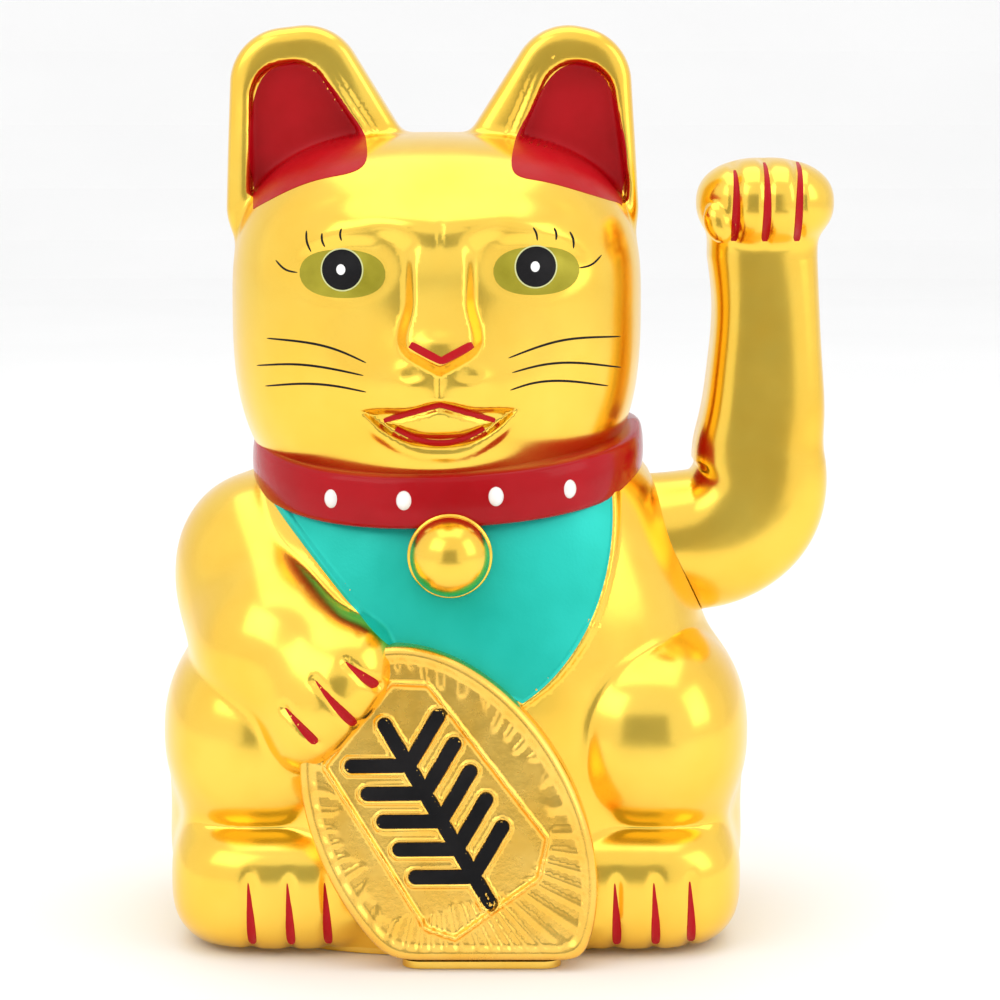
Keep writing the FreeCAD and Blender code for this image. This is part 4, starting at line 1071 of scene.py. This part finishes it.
def plaque(x, y, z):
    along, across = plaque_axes(x, z)
    u, v = along - PLAQUE_OFFSET, across - PLAQUE_OFFSET
    q = np.sqrt((u / PLAQUE_LONG) ** 2 + (v / PLAQUE_WIDE) ** 2 + 1e-12)
    slope = np.hypot(u / PLAQUE_LONG**2, v / PLAQUE_WIDE**2) / np.maximum(q, 0.05)
    outline = np.where(q > 0.3, (q - 1.0) / np.maximum(slope, 1e-3), -20.0)
    outline = smooth_max(outline, 2.2 - z, 5.0)
    depth = y + 54.2 - 0.096 * z
    inward = -outline
    # A rounded rim, a band with short hammered marks on both long sides, and the panel inside it.
    turn = np.arctan2(across / PLAQUE_WIDE, along / PLAQUE_LONG)
    marks = np.sin(turn * 48.0 + 2.0 * np.sin(turn * 7.0) + 0.12 * inward)
    ends = np.clip(1.35 - np.abs(along) / 44.0, 0.0, 1.0)
    reach = 6.2 + 1.3 * np.sin(turn * 11.0) + 0.7 * np.sin(turn * 23.0) + 9.0 * step_up((along - 16.0) / 6.0)
    band = step_up((inward - 2.6) / 0.7) * step_up((reach - inward) / 1.0) * ends
    relief = 0.9 * bump((inward - 1.7) / 2.3) + 0.26 * np.clip(marks, -0.3, 1.0) * band
    panel = polygon_distance(along, across, PANEL) - 1.5
    relief = relief + 0.55 * bump(panel / 0.9) - 0.5 * step_up((-panel - 0.6) / 0.7)
    bars = None
    for start, end in ORNAMENT:
        one = line_distance(along, across, *start, *end)
        bars = one if bars is None else smooth_min(bars, one, 0.8)
    relief = relief + 0.4 * bump((bars - BAR - 0.5) / 0.7) - 0.25 * step_up((BAR - 0.1 - bars) / 0.35)
    return smooth_max(smooth_max(outline, -depth - relief, 1.6), depth - PLAQUE_THICK, 1.0)


koban = solid_from_field("koban", plaque, (-50.0, -58.0, -2.0), (36.0, -34.0, 76.0), 0.55,
                         FINISH["gold_satin"])
place(koban, "figurine", "plaque_gold", "coin_plaque")


def bar_edge(start, end, side):
    """One long edge of a bar with round ends."""
    length = math.dist(start, end)
    way = [(end[i] - start[i]) / length for i in (0, 1)]

    def at(s):
        along = start[0] + (end[0] - start[0]) * s
        across = start[1] + (end[1] - start[1]) * s
        reach = np.minimum(s, 1.0 - s) * length
        half = BAR * np.sqrt(np.clip(1.0 - np.clip(1.0 - reach / BAR, 0.0, 1.0) ** 2, 0.002, 1.0))
        return from_plaque(along - side * half * way[1], across + side * half * way[0])

    return at


for number, (start, end) in enumerate(ORNAMENT):
    length = math.dist(start, end)
    far = [end[i] + (end[i] - start[i]) / length * BAR for i in (0, 1)]
    near = [start[i] - (end[i] - start[i]) / length * BAR for i in (0, 1)]
    left, right = bar_edge(near, far, 1.0), bar_edge(near, far, -1.0)
    painted(f"ornament_{number}", left, right, int(length / 0.5) + 6, 6, plaque, -62.0,
            FINISH["black_paint"], "figurine", "paint_black", 0.05 + 0.004 * number)


# ---------------------------------------------------------------- paint
# Each brush: the field to paint on, where to start from along Y, the finish, the body and the slot.
FRONT = -66.0
OLIVE_BRUSH = (cat, FRONT, FINISH["eye_olive"], "figurine", "stud_white")
RING_BRUSH = (cat, FRONT, FINISH["eye_ring"], "figurine", "stud_white")
WHITE_BRUSH = (cat, FRONT, FINISH["white_paint"], "figurine", "stud_white")
BLACK_BRUSH = (cat, FRONT, FINISH["black_paint"], "figurine", "paint_black")
RED_BRUSH = (cat, FRONT, FINISH["red_paint"], "figurine", "paint_red")
EAR_BRUSH = (cat, -44.0, FINISH["red_paint"], "figurine", "paint_red")
FIST_BRUSH = (arm, -40.0, FINISH["red_paint"], "waving_arm", "paint_red")
BIB_BRUSH = (cat, FRONT, FINISH["teal_pearl"], "figurine", "bib_teal")


def disc_edge(cx, cz, radius, side, tall=1.0):
    def at(s):
        turn = math.pi * (0.02 + 0.96 * s)
        return cx - radius * np.cos(turn), cz + side * tall * radius * np.sin(turn)

    return at


def eye_edge(cx, cz, side):
    def at(s):
        u = 2.0 * s - 1.0
        height = np.sqrt(np.clip(1.0 - 0.62 * u * u - 0.36 * u**4, 0.0004, None))
        return cx + EYE_LONG * 0.985 * u, cz + side * EYE_TALL * height

    return at


PUPIL_X = {"left": -24.1, "right": 16.9}
# Round layers over each eye: name, step sideways, radius, height over width, rows, columns, brush and lift.
EYE_LAYERS = [
    ("iris_ring", 0.0, 4.55, 1.0, 30, 20, RING_BRUSH, 0.11),
    ("pupil", 0.0, 4.25, 1.0, 30, 20, BLACK_BRUSH, 0.15),
    ("glint", -0.2, 0.95, 1.15, 12, 8, WHITE_BRUSH, 0.19),
]
for side_name, (ex, ez) in zip(("left", "right"), EYES):
    under, over = (eye_edge(FACE_X + ex, ez - 0.9, side) for side in (-1.0, 1.0))
    painted(f"eye_{side_name}", under, over, 40, 20, *OLIVE_BRUSH, 0.07)
    for layer, shift, radius, tall, rows, columns, brush, lift in EYE_LAYERS:
        under, over = (disc_edge(PUPIL_X[side_name] + shift, ez, radius, side, tall) for side in (-1.0, 1.0))
        painted(f"{layer}_{side_name}", under, over, rows, columns, *brush, lift)

LASHES = {
    "lash_l1": [(-31.8, 156.2), (-31.7, 153.9), (-30.8, 151.8)],
    "lash_l2": [(-28.4, 155.8), (-28.4, 154.3), (-27.8, 152.9)],
    "lash_l3": [(-24.2, 156.9), (-24.5, 155.6), (-24.2, 154.3)],
    "lash_l4": [(-38.6, 149.7), (-36.4, 147.8), (-33.8, 147.3)],
    "lash_r1": [(16.3, 157.1), (17.0, 155.8), (17.2, 154.3)],
    "lash_r2": [(20.8, 156.9), (21.3, 155.6), (21.2, 154.3)],
    "lash_r3": [(24.2, 156.0), (25.0, 154.2), (25.0, 152.4)],
    "lash_r4": [(31.2, 150.7), (29.0, 148.8), (26.1, 148.2)],
}
WHISKERS = {
    "whisker_l1": [(-40.7, 132.8), (-33.3, 132.6), (-26.0, 131.4), (-19.0, 128.7)],
    "whisker_l2": [(-43.1, 126.6), (-35.4, 127.6), (-27.0, 127.2), (-19.6, 126.0)],
    "whisker_l3": [(-41.2, 122.3), (-33.3, 123.5), (-26.0, 123.5), (-19.0, 122.5)],
    "whisker_r1": [(11.1, 129.7), (16.4, 131.5), (22.2, 132.9), (35.6, 132.8)],
    "whisker_r2": [(11.9, 126.6), (18.0, 127.9), (24.3, 128.1), (35.8, 126.0)],
    "whisker_r3": [(11.5, 122.9), (16.0, 124.1), (20.7, 124.4), (32.9, 122.3)],
}
for name, points in LASHES.items():
    stroke(name, points, 0.42, *BLACK_BRUSH)
for name, points in WHISKERS.items():
    stroke(name, points, 0.5, *BLACK_BRUSH)

NOSE_AND_LIPS = {
    "nose_left": [(-9.5, 133.2), (-6.2, 131.5), (-2.9, 129.8)],
    "nose_right": [(3.3, 133.2), (0.0, 131.5), (-3.3, 129.8)],
    "lip_left": [(-15.2, 116.3), (-9.5, 118.1), (-3.1, 120.0)],
    "lip_right": [(8.2, 116.3), (2.6, 118.1), (-3.8, 120.0)],
    "lip_low": [(-12.8, 114.6), (-8.8, 112.6), (-3.4, 111.6), (2.0, 112.6), (6.0, 114.6)],
}
for name, points in NOSE_AND_LIPS.items():
    stroke(name, points, 1.6 if name.startswith("nose") else 1.15, *RED_BRUSH, 0.75, 0.3)

# The red in each ear, between its outer side and its inner side.
EAR_PAINT = {
    "ear_red_left": (
        [(-44.2, 160.0), (-45.4, 168.0), (-45.4, 177.4), (-44.5, 184.8), (-41.3, 190.0), (-36.7, 191.7)],
        [(-43.6, 160.4), (-36.0, 164.4), (-26.9, 167.4), (-19.3, 170.8), (-19.4, 174.2), (-23.0, 180.5),
         (-27.4, 186.6), (-31.7, 190.5), (-36.2, 191.8)],
    ),
    "ear_red_right": (
        [(36.4, 160.6), (37.7, 168.7), (36.7, 177.4), (34.7, 184.8), (31.6, 189.9), (27.8, 191.7)],
        [(35.8, 161.2), (24.9, 164.8), (17.0, 166.8), (12.3, 168.6), (12.2, 172.6), (14.8, 178.6),
         (19.2, 186.0), (23.4, 190.6), (27.3, 191.8)],
    ),
}
for name, (outer_side, inner_side) in EAR_PAINT.items():
    painted(name, smooth_path(outer_side), smooth_path(inner_side), 60, 48, *EAR_BRUSH, 0.1)

BIB_TOP = 100.5
BIB_TALL = 44.5
# The left edge of the bib's paint, as (z, x) from its tip upwards.
BIB_PAINT_LEFT = [(56.0, 13.4), (60.6, 5.1), (65.3, -3.4), (67.9, -14.1), (77.9, -24.3), (89.7, -34.6),
                  (100.5, -44.4)]
BIB_INSET = 0.7


def bib_left(s):
    z = BIB_TOP - BIB_TALL * s
    return np.interp(z, *zip(*BIB_PAINT_LEFT)) + BIB_INSET, z


def bib_right(s):
    z = BIB_TOP - BIB_TALL * s
    return np.maximum(BIB_RIGHT(z) - BIB_INSET, bib_left(s)[0] + 0.05), z


painted("bib", bib_left, bib_right, 70, 90, *BIB_BRUSH, 0.1)

for side_name, places in TOES.items():
    for number, x in enumerate(places):
        points = [(x - 0.4, 17.0), (x, 10.0), (x + 0.3, 2.6)]
        stroke(f"toe_{side_name}_{number}", points, 2.5, *RED_BRUSH, 0.3, 0.12, 0.8)
for number, (ax, az, bx, bz) in enumerate(CLAW_LINES):
    points = [(ax, az), (0.5 * (ax + bx), 0.5 * (az + bz)), (bx, bz)]
    stroke(f"claw_{number}", points, 2.6, *RED_BRUSH, 0.35, 0.12, 0.8)
for number, x in enumerate(FIST_LINES):
    # The first line stops lower, where the fist's outline ends, and the last one leans.
    top = 168.2 if number == 0 else 169.8
    lean = 0.0 if x < 70.0 else 0.5
    points = [(x + lean, top), (x, 162.0), (x - 0.1, 152.8)]
    stroke(f"fist_{number}", points, 2.1, *FIST_BRUSH, 0.5, 0.12, 0.5)


# ---------------------------------------------------------------- CAD nodes left showing
slot_of = {row["node"]: row["material_slot"] for row in frame["record"]["subparts"]}
for name, obj in frame["nodes"].items():
    for material_slot in obj.material_slots:
        material_slot.material = FINISH[SLOT_FINISH[slot_of[name]]]


# ---------------------------------------------------------------- floor, light and camera
FLOOR_DROP = 0.0002


def stage_mesh(name, points, faces, material):
    """A surface of the stage, which is no part of the figurine."""
    mesh = bpy.data.meshes.new(name)
    mesh.from_pydata(points, [], faces)
    mesh.materials.append(material)
    obj = bpy.data.objects.new(name, mesh)
    bpy.context.scene.collection.objects.link(obj)
    return obj


def backdrop():
    """A pale floor that curves up into a wall far behind the figurine, just clear of its underside."""
    profile = [(-6.0, 0.0), (2.0, 0.0)]
    profile += [(2.0 + 1.5 * math.sin(a), 1.5 - 1.5 * math.cos(a)) for a in np.linspace(0.1, 1.5, 14)]
    profile.append((3.5, 6.0))
    points = [(x, y, z) for y, z in profile for x in (-8.0, 8.0)]
    faces = [(2 * i, 2 * i + 1, 2 * i + 3, 2 * i + 2) for i in range(len(profile) - 1)]
    stage_mesh("floor", points, faces, FINISH["floor"]).location.z = -FLOOR_DROP


backdrop()
# Grey cards in front of the figurine, which show only as reflections in the gold. Each runs from one (y, z)
# edge to another.
CARD_HALF = 0.31
CARD_Y = -0.85
CARD_TOP = 0.5
CARD_FOOT_Y = -0.42
CARD_CLEAR = 0.002
CARD_EDGES = {
    "dark_card": ((CARD_Y, 0.0), (CARD_Y, CARD_TOP)),
    "dark_card_foot": ((CARD_Y, CARD_CLEAR), (CARD_FOOT_Y, CARD_CLEAR)),
}
for name, (first, second) in CARD_EDGES.items():
    corners = [(-CARD_HALF, *first), (CARD_HALF, *first), (CARD_HALF, *second), (-CARD_HALF, *second)]
    card = stage_mesh(name, corners, [(0, 1, 2, 3)], FINISH["card"])
    card.visible_camera = False
    card.visible_shadow = False
    card.visible_diffuse = False


def area_light(name, place_at, look_at, size, power):
    data = bpy.data.lights.new(name, "AREA")
    data.shape = "RECTANGLE"
    data.size, data.size_y = size
    data.energy = power
    obj = bpy.data.objects.new(name, data)
    obj.location = place_at
    obj.rotation_euler = (Vector(look_at) - Vector(place_at)).to_track_quat("-Z", "Y").to_euler()
    bpy.context.scene.collection.objects.link(obj)


area_light("key", (-0.9, -0.9, 1.1), (0.0, 0.0, 0.1), (1.1, 0.9), 3.5)
area_light("fill", (1.1, -0.5, 0.7), (0.0, 0.0, 0.1), (0.7, 0.9), 2.0)
area_light("top", (0.0, 0.1, 1.3), (0.0, 0.0, 0.1), (1.3, 1.3), 4.4)

world = bpy.data.worlds.new("studio")
world.use_nodes = True
world.node_tree.nodes["Background"].inputs["Color"].default_value = (1.0, 1.0, 1.0, 1.0)
world.node_tree.nodes["Background"].inputs["Strength"].default_value = 1.02
bpy.context.scene.world = world
bpy.context.scene.view_settings.view_transform = "Standard"

CAMERA_AT = Vector((0.0, -0.742, 0.191))
CAMERA_TARGET = Vector((0.0, 0.0, 0.104))
camera_data = bpy.data.cameras.new("camera")
camera_data.sensor_width = 36.0
camera_data.lens = 119.57
camera_data.shift_x = 0.044
camera_data.shift_y = -0.0446
camera = bpy.data.objects.new("camera", camera_data)
camera.location = CAMERA_AT
camera.rotation_euler = (CAMERA_TARGET - CAMERA_AT).to_track_quat("-Z", "Y").to_euler()
bpy.context.scene.collection.objects.link(camera)
bpy.context.scene.camera = camera
